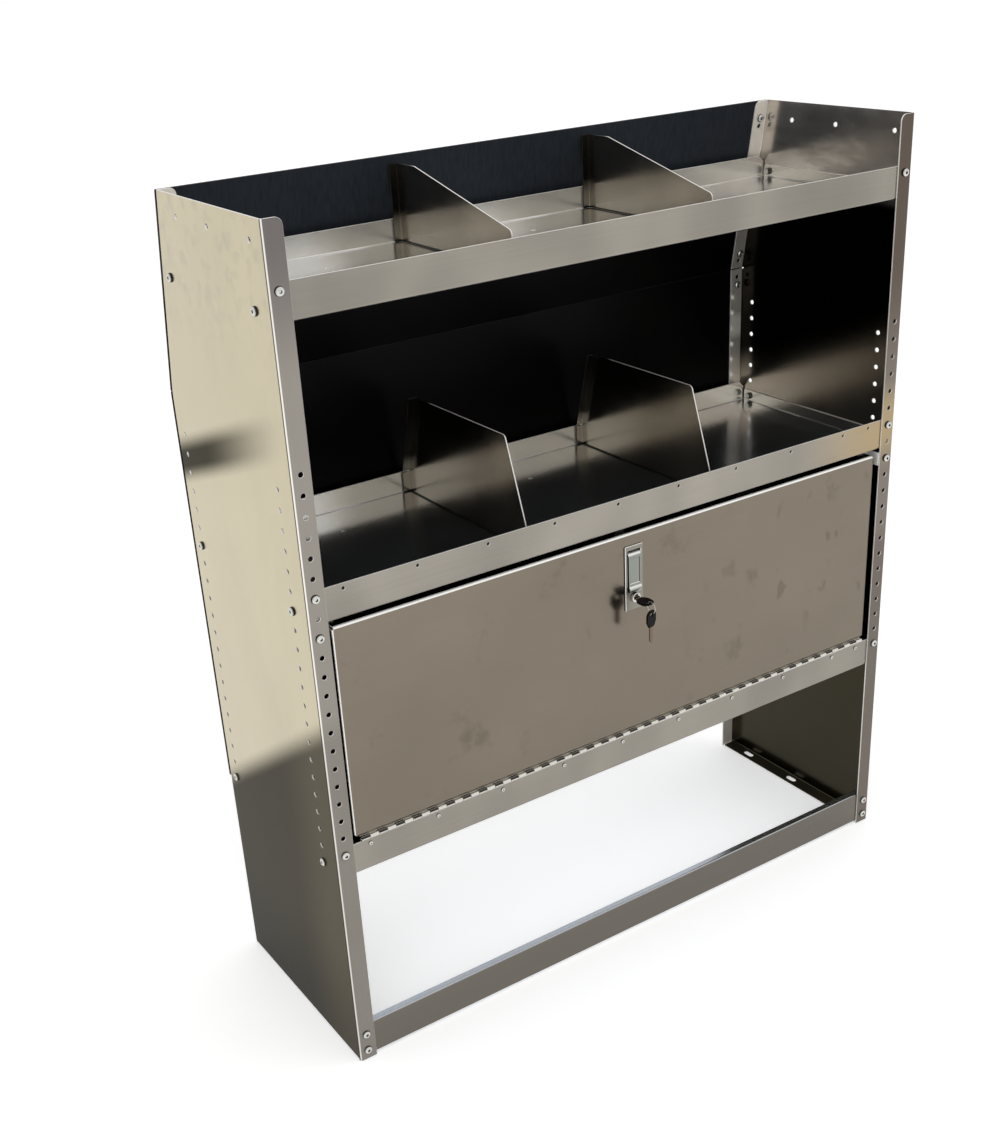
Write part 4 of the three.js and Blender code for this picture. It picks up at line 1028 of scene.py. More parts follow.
def finish_named(name):
    """Each finish is made once, the first time that a piece asks for it."""
    makers = {
        "panel_left": lambda: panel_finish(-1),
        "panel_right": lambda: panel_finish(1),
        "tray": tray_finish,
        "divider": divider_finish,
        "door": door_finish,
        "edge": lambda: edge_finish("sheared edge"),
        "divider_edge": lambda: edge_finish("sheared edge of dividers", 0.09),
        "back": back_finish,
        "hinge": lambda: plated_finish("hinge steel", "hinge"),
        "hinge_fixed": fixed_leaf_finish,
        "zinc": lambda: plated_finish("bright zinc", "zinc"),
        "screw_x": lambda: screw_finish("zinc screws in the webs", "x"),
        "screw_y": lambda: screw_finish("zinc screws in the flanges", "y"),
        "key_blade": lambda: plated_finish("key blade", "key_blade"),
        "latch": lambda: latch_finish("latch casting", "latch", 0.34),
        "latch_panel": lambda: latch_finish("lever face panel", "latch_panel", 0.42),
        # The recess inside the latch is painted dark as shade
        "latch_shade": lambda: latch_finish("latch recess", "latch_shade", 0.5),
        "key_bow": key_bow_finish,
        "floor": floor_finish,
    }
    if name not in finishes:
        finishes[name] = makers[name]()
    return finishes[name]


# The sheet metal pieces

def end_panel_loops():
    """The flat pattern of the left end panel, seen from outside: u is depth and v is height."""
    front, rear = FRONT_Y + BEND_RADIUS, REAR_Y - BEND_RADIUS
    reach = flat_length(FLANGE_WIDTH)
    bend = BEND_RADIUS * QUARTER
    seam_base = Vector((rear, BEND_HEIGHT))
    out = Vector((math.cos(LEAN_ANGLE), math.sin(LEAN_ANGLE)))
    up = Vector((-out.y, out.x))
    flange_top = (LEAN_RISE - BEND_RADIUS * math.sin(LEAN_ANGLE)) / math.cos(LEAN_ANGLE)
    outline = rounded([
        (front - reach, 0), (front, 0), (front, BEND_RADIUS),
        (front + FOLD_RELIEF, BEND_RADIUS), (front + FOLD_RELIEF, BEND_RADIUS - reach),
        (rear - FOLD_RELIEF, BEND_RADIUS - reach), (rear - FOLD_RELIEF, BEND_RADIUS),
        (rear, BEND_RADIUS), (rear, 0), (rear + reach, 0),
        (rear + reach, BEND_HEIGHT - SEAM / 2), (rear, BEND_HEIGHT - SEAM / 2),
        seam_base + up * SEAM / 2, seam_base + up * SEAM / 2 + out * reach,
        seam_base + up * flange_top + out * reach,
        seam_base + up * flange_top + out * bend,
        (rear - LEAN_SETBACK, TOP_Z), (front, TOP_Z), (front - reach, TOP_Z),
    ], [0] * 4 + [BASE_FLANGE_CORNER] * 2 + [0] * 8 + [FLANGE_CORNER] + [0] * 3 + [FLANGE_CORNER])

    flange_hole = flat_length(HOLE_INSET)
    screws = [node_box(f"flange_screw_left_{row}").middle.z
              for row in ("top_shelf", "rail_upper", "rail_lower")]
    rows = [FLANGE_TOP_HOLE - step * HOLE_PITCH for step in range(HOLE_COUNT)]
    holes = [hole(front - flange_hole, height, HOLE_RADIUS) for height in rows + screws]
    for step in range(HOLE_COUNT):
        height = WEB_TOP_HOLE - step * HOLE_PITCH
        holes.append(hole(FRONT_Y + WEB_FRONT_ROW, height, HOLE_RADIUS))
        holes.append(hole(REAR_Y - WEB_REAR_ROW, height, HOLE_RADIUS))
    for row in ("front", "rear"):
        screw = node_box(f"web_screw_left_top_shelf_{row}").middle
        holes.append(hole(screw.y, screw.z, HOLE_RADIUS))
    for inset in WALL_HOLE_INSETS:
        holes.append(hole(FRONT_Y + inset, TOP_Z - WALL_HOLE_DROP, HOLE_RADIUS))
    lower_base = BEND_HEIGHT - node_box("rear_screw_left_lower_base").middle.z
    for distance in (REAR_SCREW_INSET, lower_base, REAR_SPARE_PITCH):
        holes.append(hole(rear + flange_hole, BEND_HEIGHT - distance, HOLE_RADIUS))
    upper_top = LEAN_LENGTH - REAR_SCREW_INSET
    for distance in (REAR_SCREW_INSET, upper_top, REAR_SPARE_PITCH, upper_top - REAR_SPARE_PITCH):
        place = seam_base + up * distance + out * flange_hole
        holes.append(hole(place.x, place.y, HOLE_RADIUS))
    middle = (FRONT_Y + REAR_Y) / 2
    for step in (-1, 0, 1):
        # A slot is made upright, but these lie along the base flange, so u and v change places
        slot = slot_hole(BEND_RADIUS - flange_hole, middle + step * SLOT_PITCH,
                         SLOT_LENGTH, SLOT_WIDTH)
        holes.append([Vector((point.y, point.x)) for point in reversed(slot)])

    bends = [
        Bend((front, 0), (-1, 0), BEND_RADIUS),
        Bend((rear, 0), (1, 0), BEND_RADIUS, high=BEND_HEIGHT - SEAM / 2),
        Bend(seam_base, out, BEND_RADIUS, low=SEAM / 2),
        Bend((middle, BEND_RADIUS), (0, -1), BEND_RADIUS,
             low=front + FOLD_RELIEF - middle, high=rear - FOLD_RELIEF - middle),
    ]
    return [outline] + holes, bends


def make_end_panels():
    """Both end panels, the right one mirrored."""
    loops, bends = end_panel_loops()

    def left(u, v, depth):
        return -HALF_WIDTH + depth, u, v

    for name, place in (("left", left), ("right", mirrored(left))):
        fold_piece(f"folded_end_panel_{name}", f"end_panel_{name}", f"panel_{name}",
                   loops, place, bends, slot="panel")


def tray_loops(node, has_lip_holes, rear_screw, strike=None):
    """The flat pattern of a tray: u is across the unit and v is depth."""
    box = node_box(node)
    side = box.high.x - BEND_RADIUS
    front, rear = box.low.y + BEND_RADIUS, box.high.y - BEND_RADIUS
    lip_end = box.high.x - LIP_END_RELIEF
    front_reach, rear_reach = flat_length(FRONT_LIP), flat_length(REAR_LIP)
    end_reach = flat_length(END_FLANGE)
    right = [
        (lip_end, front - front_reach), (lip_end, front), (side, front),
        (side, front + FOLD_RELIEF), (side + end_reach, front + FOLD_RELIEF),
        (side + end_reach, rear - FOLD_RELIEF), (side, rear - FOLD_RELIEF),
        (side, rear), (lip_end, rear), (lip_end, rear + rear_reach - REAR_LIP_CHAMFER),
        (lip_end - REAR_LIP_CHAMFER, rear + rear_reach),
    ]
    radii = [LIP_CORNER, 0, 0, 0, END_FLANGE_CORNER, END_FLANGE_CORNER, 0, 0, 0,
             CHAMFER_CORNER, CHAMFER_CORNER]
    left = [(-u, v) for u, v in reversed(right)]
    holes = []
    for sign in (-1, 1):
        holes.append(hole(sign * HOLE_X, front - flat_length(LIP_SCREW_RISE), HOLE_RADIUS))
        for depth in (FRONT_Y + WEB_FRONT_ROW, rear_screw):
            holes.append(hole(sign * (side + flat_length(END_SCREW_RISE)), depth, HOLE_RADIUS))
    if has_lip_holes:
        drop = front - flat_length(FRONT_LIP - LIP_HOLE_DROP)
        holes += [hole(u, drop, LIP_HOLE_RADIUS) for u in lip_hole_places()]
    for share in (-FLOOR_HOLE_SHARE, 0, FLOOR_HOLE_SHARE):
        holes.append(hole(share * 2 * HALF_WIDTH, box.high.y - FLOOR_HOLE_REAR_INSET,
                          FLOOR_HOLE_RADIUS))
    if strike:
        holes.append(strike)
    bends = [
        Bend((0, front), (0, -1), BEND_RADIUS, low=-lip_end, high=lip_end),
        Bend((0, rear), (0, 1), BEND_RADIUS, low=-lip_end, high=lip_end),
        Bend((side, 0), (1, 0), BEND_RADIUS, low=front + FOLD_RELIEF, high=rear - FOLD_RELIEF),
        Bend((-side, 0), (-1, 0), BEND_RADIUS, low=FOLD_RELIEF - rear,
             high=-front - FOLD_RELIEF),
    ]
    return [rounded(right + left, radii + radii[::-1])] + holes, bends


def lip_hole_places():
    """Where the lips are drilled: one pitch apart from the left, and once near the right end."""
    end = HINGE_PIN.high.x - LIP_HOLE_END_INSET
    steps = int(2 * end / LIP_HOLE_PITCH)
    return [step * LIP_HOLE_PITCH - end for step in range(steps + 1)] + [end]


def make_trays():
    """The three trays, the middle one with the slot where the bolt goes in, and the rail."""
    bolt = node_box("lock_bolt")
    strike = box_hole(-BOLT_WIDTH / 2 - STRIKE_PLAY, BOLT_WIDTH / 2 + STRIKE_PLAY,
                      bolt.low.y - STRIKE_PLAY, bolt.high.y + STRIKE_PLAY, STRIKE_CORNER)
    top_rear = node_box("shelf_tray_top").high.y - TOP_TRAY_REAR_SCREW
    lower_rear = REAR_Y - WEB_REAR_ROW
    for node, has_lip_holes, rear_screw, slot in (
            ("shelf_tray_top", False, top_rear, None),
            ("shelf_tray_middle", True, lower_rear, strike),
            ("cabinet_floor_tray", True, lower_rear, None)):
        base = node_box(node).low.z
        loops, bends = tray_loops(node, has_lip_holes, rear_screw, slot)

        def place(u, v, depth, base=base):
            return u, v, base + depth

        fold_piece(f"folded_{node}", node, "tray", loops, place, bends)
    make_rail()


def make_rail():
    """The bottom front rail, with its narrow flange folded back along the top."""
    box = node_box("bottom_front_rail")
    line = box.high.z - BEND_RADIUS
    end, top = box.high.x, line + flat_length(RAIL_FLANGE)
    outline = rounded([(-end, box.low.z), (end, box.low.z), (end, top), (-end, top)],
                      [LIP_CORNER] * 2 + [RAIL_FLANGE_CORNER] * 2)
    heights = [node_box(f"flange_screw_left_{row}").middle.z
               for row in ("rail_upper", "rail_lower")]
    holes = [hole(sign * HOLE_X, height, HOLE_RADIUS) for sign in (-1, 1) for height in heights]

    def place(u, v, depth):
        return u, box.low.y + depth, v

    fold_piece("folded_bottom_rail", "bottom_front_rail", "tray", [outline] + holes, place,
               [Bend((0, line), (0, 1), BEND_RADIUS)])


def make_dividers():
    """The four dividers, each with a folded rear flange."""
    for side in ("left", "right"):
        top_divider(f"divider_top_{side}")
        middle_divider(f"divider_middle_{side}")


def divider_sheet(node, outline, bends):
    """Folds a divider, whose flat pattern has depth as u and height as v."""
    plane = node_box(node).high.x

    def place(u, v, depth):
        return plane - depth, u, v

    fold_piece(f"folded_{node}", node, "divider", [outline], place, bends, DIVIDER_SHEET,
               edge="divider_edge")


def top_divider(node):
    """A top divider, with a nose in front and a slope up to its level crest."""
    box = node_box(node)
    rear = box.high.y - DIVIDER_RADIUS
    reach = flat_length(DIVIDER_FLANGE, DIVIDER_RADIUS)
    outline = rounded([
        (box.low.y, box.low.z), (rear, box.low.z), (rear + reach, box.low.z),
        (rear + reach, box.high.z), (rear, box.high.z), (box.high.y - TOP_CREST, box.high.z),
        (box.low.y, box.low.z + TOP_NOSE),
    ], [0, 0, 0, DIVIDER_FLANGE_CORNER, 0, DIVIDER_CORNER, DIVIDER_CORNER])
    divider_sheet(node, outline, [Bend((rear, 0), (1, 0), DIVIDER_RADIUS)])


def middle_divider(node):
    """A middle divider, whose rear flange is in two parts: upright, then leaning forward."""
    box = node_box(node)
    rear = box.high.y - DIVIDER_RADIUS
    reach = flat_length(DIVIDER_FLANGE, DIVIDER_RADIUS)
    heel = Vector((rear, box.low.z + MIDDLE_HEEL))
    crest = Vector((rear - MIDDLE_LEAN, box.high.z))
    up = (crest - heel).normalized()
    out = Vector((up.y, -up.x))
    gap = SEAM / 2
    flange_top = (crest - heel).length - DIVIDER_RADIUS * abs(out.y) / up.y
    outline = rounded([
        (box.low.y, box.low.z), (rear, box.low.z), (rear + reach, box.low.z),
        (rear + reach, heel.y - gap), (rear, heel.y - gap),
        heel + up * gap, heel + up * gap + out * reach,
        heel + up * flange_top + out * reach, heel + up * flange_top + out * DIVIDER_RADIUS,
        crest, (box.high.y - MIDDLE_LEAN - MIDDLE_CREST, box.high.z),
    ], [0] * 10 + [DIVIDER_CORNER])
    divider_sheet(node, outline, [
        Bend((rear, heel.y), (1, 0), DIVIDER_RADIUS, high=-gap),
        Bend(heel, out, DIVIDER_RADIUS, low=gap),
    ])


def make_back_sheets():
    """The two ribbed black sheets: the lower upright, the upper leaning forward."""
    sheets = bpy.context.scene.shelving_sheets
    lower, upper = LOWER_SHEET, node_box("back_sheet_upper")
    thickness = lower.high.y - lower.low.y
    gap = lower.low.y - REAR_Y
    margin = FLANGE_WIDTH + RIB_MARGIN
    ribs = Ribs(-HALF_WIDTH + margin, HALF_WIDTH - margin, sheets.rib_pitch, sheets.rib_depth)

    base = BEND_HEIGHT - node_box("rear_screw_left_lower_base").middle.z
    outline = box_outline(-HALF_WIDTH, HALF_WIDTH, lower.low.z, BEND_HEIGHT, BACK_CORNER)
    holes = [hole(sign * HOLE_X, BEND_HEIGHT - distance, HOLE_RADIUS)
             for sign in (-1, 1) for distance in (REAR_SCREW_INSET, base)]

    def upright(u, v, depth):
        return u, lower.low.y + depth, v

    Shape().add_sheet([outline] + holes, thickness, upright, ribs=ribs).make(
        "ribbed_back_sheet_lower", "frame", ["back_sheet_lower"], "back", finish_named("back"))

    rise = upper.high.z - BEND_HEIGHT - (gap + thickness) * math.sin(LEAN_ANGLE)
    outline = box_outline(-HALF_WIDTH, HALF_WIDTH, 0, rise / math.cos(LEAN_ANGLE), BACK_CORNER)
    holes = [hole(sign * HOLE_X, distance, HOLE_RADIUS) for sign in (-1, 1)
             for distance in (REAR_SCREW_INSET, LEAN_LENGTH - REAR_SCREW_INSET)]

    def leaning(u, v, depth):
        return lean(u, gap + depth, v)

    Shape().add_sheet([outline] + holes, thickness, leaning, ribs=ribs).make(
        "ribbed_back_sheet_upper", "frame", ["back_sheet_upper"], "back", finish_named("back"))


# Door, stops and hinge

def make_door():
    """The door pan, folded back on four sides, and the two stops that it closes against."""
    side = DOOR.high.x - DOOR_RADIUS
    low, high = DOOR.low.z + DOOR_RADIUS, DOOR.high.z - DOOR_RADIUS
    reach = flat_length(DOOR.high.y - DOOR.low.y, DOOR_RADIUS)
    gap = FOLD_RELIEF
    right = [(side, low - reach), (side, low), (side, low + gap), (side + reach, low + gap),
             (side + reach, high - gap), (side, high - gap), (side, high), (side, high + reach)]
    radii = [DOOR_CORNER, 0, 0, DOOR_CORNER] * 2
    left = [(-u, v) for u, v in reversed(right)]
    outline = rounded(right + left, radii + radii)
    case_half = CASE_WIDTH / 2 + CASE_GAP
    opening = box_hole(-case_half, case_half, HOUSING.low.z + CASE_END_INSET - CASE_GAP,
                       HOUSING.high.z - CASE_END_INSET + CASE_GAP, OPENING_CORNER)
    bends = [
        Bend((0, low), (0, -1), DOOR_RADIUS, low=-side, high=side),
        Bend((0, high), (0, 1), DOOR_RADIUS, low=-side, high=side),
        Bend((side, 0), (1, 0), DOOR_RADIUS, low=low + gap, high=high - gap),
        Bend((-side, 0), (-1, 0), DOOR_RADIUS, low=gap - high, high=-low - gap),
    ]

    def place(u, v, depth):
        return u, DOOR.low.y + depth, v

    fold_piece("folded_door_pan", "door_panel", "door", [outline, opening], place, bends,
               DOOR_SHEET, body="door")

    for name, sign in (("left", -1), ("right", 1)):
        box = node_box(f"door_stop_{name}")
        leg = HALF_WIDTH - FLANGE_WIDTH + CASE_GAP
        near_face = box.high.y - SHEET
        section = folded_section([(leg - STOP_LEG, near_face), (leg, near_face),
                                  (leg, box.low.y), (leg + STOP_LEG, box.low.y)],
                                 SHEET, STOP_RADIUS)

        def upright(u, v, depth, sign=sign, box=box):
            return sign * u, v, box.low.z + depth

        fold_piece(f"bent_door_stop_{name}", f"door_stop_{name}", "tray", [section], upright,
                   thickness=box.high.z - box.low.z)


def hinge_comb(width, first_step):
    """The flat pattern of a hinge leaf: a strip with a row of tongues that roll round the pin."""
    end = HINGE_PIN.high.x
    count = round(2 * end / KNUCKLE_PERIOD)
    tongue = KNUCKLE_PERIOD / 2 - KNUCKLE_GAP
    tip = -KNUCKLE_RADIUS * KNUCKLE_ROLL
    corners = []
    for step in range(count):
        start = -end + (step + first_step / 2) * KNUCKLE_PERIOD + KNUCKLE_GAP / 2
        corners += [(start, LEAF_START), (start, tip), (start + tongue, tip),
                    (start + tongue, LEAF_START)]
    corners += [(end, LEAF_START), (end, width), (-end, width), (-end, LEAF_START)]
    kept = [Vector(corner) for place, corner in enumerate(corners)
            if math.dist(corner, corners[place - 1]) > SHORTEST_EDGE]
    return kept, Bend((0, 0), (0, -1), KNUCKLE_RADIUS, KNUCKLE_ROLL)


def make_hinge():
    """Both rolled leaves of the piano hinge, its pin, and the screws through the fixed leaf."""
    pin = HINGE_PIN.middle
    door_leaf, fixed_leaf = node_box("hinge_leaf_door"), node_box("hinge_leaf_fixed")
    lip = node_box("cabinet_floor_tray").low
    screw_height = lip.z + FRONT_LIP - LIP_HOLE_DROP
    outline, roll = hinge_comb(door_leaf.high.y - pin.y, 1)

    def lying(u, v, depth):
        return u, pin.y + v, pin.z + KNUCKLE_RADIUS - depth

    Shape().add_sheet([outline], HINGE_LEAF, lying, [roll], chamfer=LEAF_CHAMFER).make(
        "rolled_hinge_leaf_door", "door", ["hinge_leaf_door"], "hinge", finish_named("hinge"))

    outline, roll = hinge_comb(pin.z - fixed_leaf.low.z, 0)
    holes = [hole(u, pin.z - screw_height, LIP_HOLE_RADIUS) for u in lip_hole_places()]

    def hanging(u, v, depth):
        return u, pin.y + KNUCKLE_RADIUS - depth, pin.z - v

    Shape().add_sheet([outline] + holes, HINGE_LEAF, hanging, [roll], chamfer=LEAF_CHAMFER).make(
        "rolled_hinge_leaf_fixed", "frame", ["hinge_leaf_fixed"], "hinge",
        finish_named("hinge_fixed"))

    domed = ((0, 0.5), (0.4, 0.85), (1, 1))
    Shape().add_rings(rod_rings(HINGE_PIN, domed, sides=12)).make(
        "hinge_pin_rod", "frame", ["hinge_pin"], "hinge", finish_named("zinc"))

    # The small screws through the fixed leaf: a recessed head, then the shank
    profile = [(1.0, -0.7), (1.1, -1.45), (1.8, -1.5), (2.6, -1.2), (3.0, -0.6), (3.1, -0.05),
               (2.0, -0.05), (2.0, 5.6)]
    profile = [(radius, lip.y + depth) for radius, depth in profile]
    heads = Shape()
    for x in lip_hole_places():
        heads.add_rings(turned_rings(profile, (x, screw_height), sides=16))
    heads.make("hinge_leaf_screws", "frame", [], "zinc", finish_named("screw_y"))


# Latch, lock and keys

def facing_front(y):
    """Puts a plate in the XZ plane, with its outer face towards the front at this depth."""
    def place(u, v, depth):
        return u, y + depth, v
    return place


def make_latch():
    """The latch in the door: its housing, pull lever and lock."""
    make_housing()
    make_lever()
    make_lock()


def make_housing():
    """Bezel, pocket for the lever, case and bolt guide."""
    low, high = HOUSING.low.z, HOUSING.high.z
    half = HOUSING.high.x
    front = HOUSING.low.y
    case_rear = DOOR.low.y + CASE_DEPTH
    pocket_top = high - POCKET_TOP_INSET
    pocket = box_hole(-POCKET_WIDTH / 2, POCKET_WIDTH / 2, pocket_top - POCKET_HEIGHT,
                      pocket_top, POCKET_CORNER)
    bore = hole(0, LOCK.middle.z, LOCK_BORE, sides=28)
    outline = box_outline(-half, half, low, high, BEZEL_CORNER)
    case = box_outline(-CASE_WIDTH / 2, CASE_WIDTH / 2, low + CASE_END_INSET,
                       high - CASE_END_INSET, CASE_CORNER)
    housing = Shape()
    housing.add_sheet([outline, pocket, bore], BEZEL_THICKNESS, facing_front(front),
                      chamfer=BEZEL_EDGE)
    pocket_floor = front + POCKET_DEPTH
    housing.add_sheet([case, pocket, bore], pocket_floor - front - BEZEL_THICKNESS,
                      facing_front(front + BEZEL_THICKNESS), chamfer=FINE_CHAMFER, edge_slot=1)
    housing.add_sheet([case, bore], case_rear - pocket_floor, facing_front(pocket_floor),
                      chamfer=FINE_CHAMFER, edge_slot=1)
    bolt = node_box("lock_bolt")
    channel = BOLT_WIDTH / 2 + BOLT_PLAY
    guide_low = high - GUIDE_DROP
    section = rounded([
        (-channel - GUIDE_WALL, case_rear), (channel + GUIDE_WALL, case_rear),
        (channel + GUIDE_WALL, HOUSING.high.y), (-channel - GUIDE_WALL, HOUSING.high.y),
    ], [0, 0, GUIDE_CORNER, GUIDE_CORNER])
    channel_hole = box_hole(-channel, channel, bolt.low.y - BOLT_PLAY, bolt.high.y + BOLT_PLAY)
    housing.add_sheet([section, channel_hole], GUIDE_HEIGHT,
                      lambda u, v, depth: (u, v, guide_low + depth))
    housing.make("latch_housing_cast", "door", ["latch_housing"], "latch",
                 finish_named("latch"), finish_named("latch_shade"))


def make_lever():
    """The pull lever: a plate with a rolled barrel, a framed face and a flared lower lip."""
    pin = node_box("lever_pin")
    y, z = pin.middle.y, pin.middle.z
    face = -LEVER_FACE_RISE
    back = face + LEVER_THICKNESS
    foot, lip_top = -LEVER_REACH, -LEVER_REACH + LEVER_LIP_HEIGHT
    panel_low, panel_high = lip_top + LEVER_PANEL_BORDER, -2 * LEVER_PANEL_BORDER
    barrel_steps = 10

    def section(x, inset, sunk=0.001):
        """The lever's section as pairs of depth and height from its pin."""
        behind, ahead = back - inset, face + inset
        barrel = arc_points((0, 0), LEVER_BARREL - inset, QUARTER, -math.pi, barrel_steps)
        points = [(point.x, point.y) for point in barrel]
        points += [(behind, -LEVER_BARREL), (behind, lip_top), (behind - 0.4, foot + 4.6),
                   (ahead + LEVER_LIP, foot + LEVER_THICKNESS), (ahead + 0.6, foot + 1.2 + inset),
                   (ahead - LEVER_LIP + 0.9, foot + inset),
                   (ahead - LEVER_LIP, foot + 0.6 + inset), (ahead - LEVER_LIP + 0.5, foot + 3.0),
                   (ahead - 0.6, lip_top - 1.6), (ahead, lip_top),
                   (ahead, panel_low - 0.02), (ahead + sunk, panel_low + sunk),
                   (ahead + sunk, panel_high - sunk), (ahead, panel_high + 0.02),
                   (ahead, -2.4), (ahead + 0.8, 0.2), (ahead + 2.4, 2.2)]
        return [(x, y + depth, z + rise) for depth, rise in points]

    half = LEVER.high.x
    border = half - LEVER_PANEL_BORDER
    bevel, depth = LEVER_END_BEVEL, LEVER_PANEL_DEPTH
    Shape().add_rings([
        section(-half, bevel), section(-half + bevel, 0), section(-border, 0),
        section(-border + depth, 0, depth), section(border - depth, 0, depth),
        section(border, 0), section(half - bevel, 0), section(half, bevel),
    ]).make("pull_lever_formed", "pull_lever", ["pull_lever"], "latch", finish_named("latch_panel"))

    bevelled = ((0, 0.7), (0.4, 1))
    Shape().add_rings(rod_rings(pin, bevelled, sides=16)).make(
        "lever_pin_rod", "door", ["lever_pin"], "zinc", finish_named("zinc"))


def make_lock():
    """Lock cylinder with its keyway, cam, nut and bolt."""
    height = LOCK.middle.z
    cam, nut = node_box("lock_cam"), node_box("cam_nut")
    make_cylinder((0, height), cam.low.y - CASE_GAP)

    # The cam is an arm with a round hub and a round tip, and its pin stands on the tip
    arm = arc_points((0, height), CAM_HUB, -QUARTER, math.pi, steps=18)
    arm += arc_points((-CAM_THROW, height), CAM_TIP, QUARTER, math.pi, steps=14)
    bore = hole(0, height, CAM_BORE, sides=24)
    plate_rear = nut.low.y - CASE_GAP
    pin_profile = [(CAM_PIN, plate_rear), (CAM_PIN, cam.high.y - 0.3), (CAM_PIN - 0.3, cam.high.y)]
    plate = Shape()
    plate.add_sheet([arm, bore], plate_rear - cam.low.y, facing_front(cam.low.y))
    plate.add_rings(turned_rings(pin_profile, (-CAM_THROW, height), sides=20))
    plate.make("lock_cam_stamped", "lock", ["lock_cam"], "zinc", finish_named("zinc"))

    hexagon = arc_points((0, height), nut.high.x, 0, 5 * math.pi / 3, steps=5)
    Shape().add_sheet([hexagon, bore], nut.high.y - nut.low.y, facing_front(nut.low.y),
                      chamfer=0.5).make(
        "cam_nut_hexagon", "lock", ["cam_nut"], "zinc", finish_named("zinc"))
    make_bolt(height)


def make_cylinder(centre, plug_rear):
    """The lock cylinder: collar and plug with the keyway, then the plug's solid end and stud."""
    front, rear = LOCK.low.y, LOCK.high.y
    width, height, depth = KEYWAY
    keyway = box_hole(-width / 2, width / 2, centre[1] - height / 2, centre[1] + height / 2,
                      KEYWAY_CORNER)
    collar_rear = HOUSING.low.y - CASE_GAP
    collar = hole(*centre, COLLAR_RADIUS, sides=40)[::-1]
    plug = hole(*centre, PLUG_RADIUS, sides=32)[::-1]
    cylinder = Shape()
    cylinder.add_sheet([collar, keyway], collar_rear - front, facing_front(front), chamfer=0.8)
    cylinder.add_sheet([plug, keyway], depth - (collar_rear - front), facing_front(collar_rear),
                       chamfer=FINE_CHAMFER)
    solid_end = [(PLUG_RADIUS - 0.1, front + depth), (PLUG_RADIUS - 0.1, plug_rear)]
    stud = [(STUD_RADIUS, plug_rear), (STUD_RADIUS, rear - 0.5), (STUD_RADIUS - 0.5, rear)]
    for profile in (solid_end, stud):
        cylinder.add_rings(turned_rings(profile, centre, sides=32))
    cylinder.make("lock_cylinder_turned", "lock", ["lock_cylinder"], "zinc", finish_named("zinc"))


def make_bolt(lock_height):
    """The bolt: an upright bar on a wider foot, whose slot the cam's pin moves in."""
    bolt = node_box("lock_bolt")
    half = BOLT_WIDTH / 2
    room = CAM_PIN + BOLT_PLAY
    slot_low, slot_high = lock_height - room, lock_height + room + CAM_PIN_SLACK
    foot_top = slot_high + (slot_low - bolt.low.z)
    outline = rounded([
        (bolt.low.x, bolt.low.z), (half, bolt.low.z), (half, bolt.high.z), (-half, bolt.high.z),
        (-half, foot_top), (bolt.low.x, foot_top),
    ], [BOLT_FOOT_CORNER] * 2 + [BOLT_TIP_CORNER] * 2 + [0, BOLT_FOOT_CORNER])
    slot = box_hole(-CAM_THROW - room, room, slot_low, slot_high, BOLT_SLOT_CORNER)
    Shape().add_sheet([outline, slot], bolt.high.y - bolt.low.y, facing_front(bolt.low.y)).make(
        "lock_bolt_bar", "lock_bolt", ["lock_bolt"], "zinc", finish_named("zinc"))


def make_key(matrix, name, body, node):
    """A key with its shoulder at the matrix's origin and its bow towards its +Y."""
    half = BOW_WIDTH / 2
    shoulder = BOW_SHOULDER / 2
    cheek = BOW_LENGTH * BOW_CHEEK_SHARE
    bow = rounded([(-shoulder, 0), (shoulder, 0), (half, cheek), (half, BOW_LENGTH),
                   (-half, BOW_LENGTH), (-half, cheek)], BOW_CORNERS)
    blade_half = BLADE_WIDTH / 2
    tip_top = -BLADE_LENGTH + blade_half
    blade = [(-blade_half, BLADE_ROOT), (-blade_half, tip_top), (0, -BLADE_LENGTH)]
    blade += [(blade_half - BLADE_NOTCH * cut, tip_top + NOTCH_PITCH * place)
              for place, cut in enumerate(NOTCH_SHARES)]
    blade.append((blade_half, BLADE_ROOT))

    def placed(thickness):
        return lambda u, v, depth: matrix @ Vector((u, v, depth - thickness / 2))

    ring = hole(0, BOW_LENGTH - BOW_HOLE_INSET, BOW_HOLE, sides=24)
    key = Shape().add_sheet([bow, ring], BOW_THICKNESS, placed(BOW_THICKNESS), chamfer=0.55)
    metal = Shape().add_sheet([[Vector(point) for point in blade]], BLADE_THICKNESS,
                              placed(BLADE_THICKNESS), chamfer=0.2)
    key.add(metal.points, metal.faces, [1] * len(metal.faces))
    key.make(name, body, [node], "key", finish_named("key_bow"), finish_named("key_blade"))


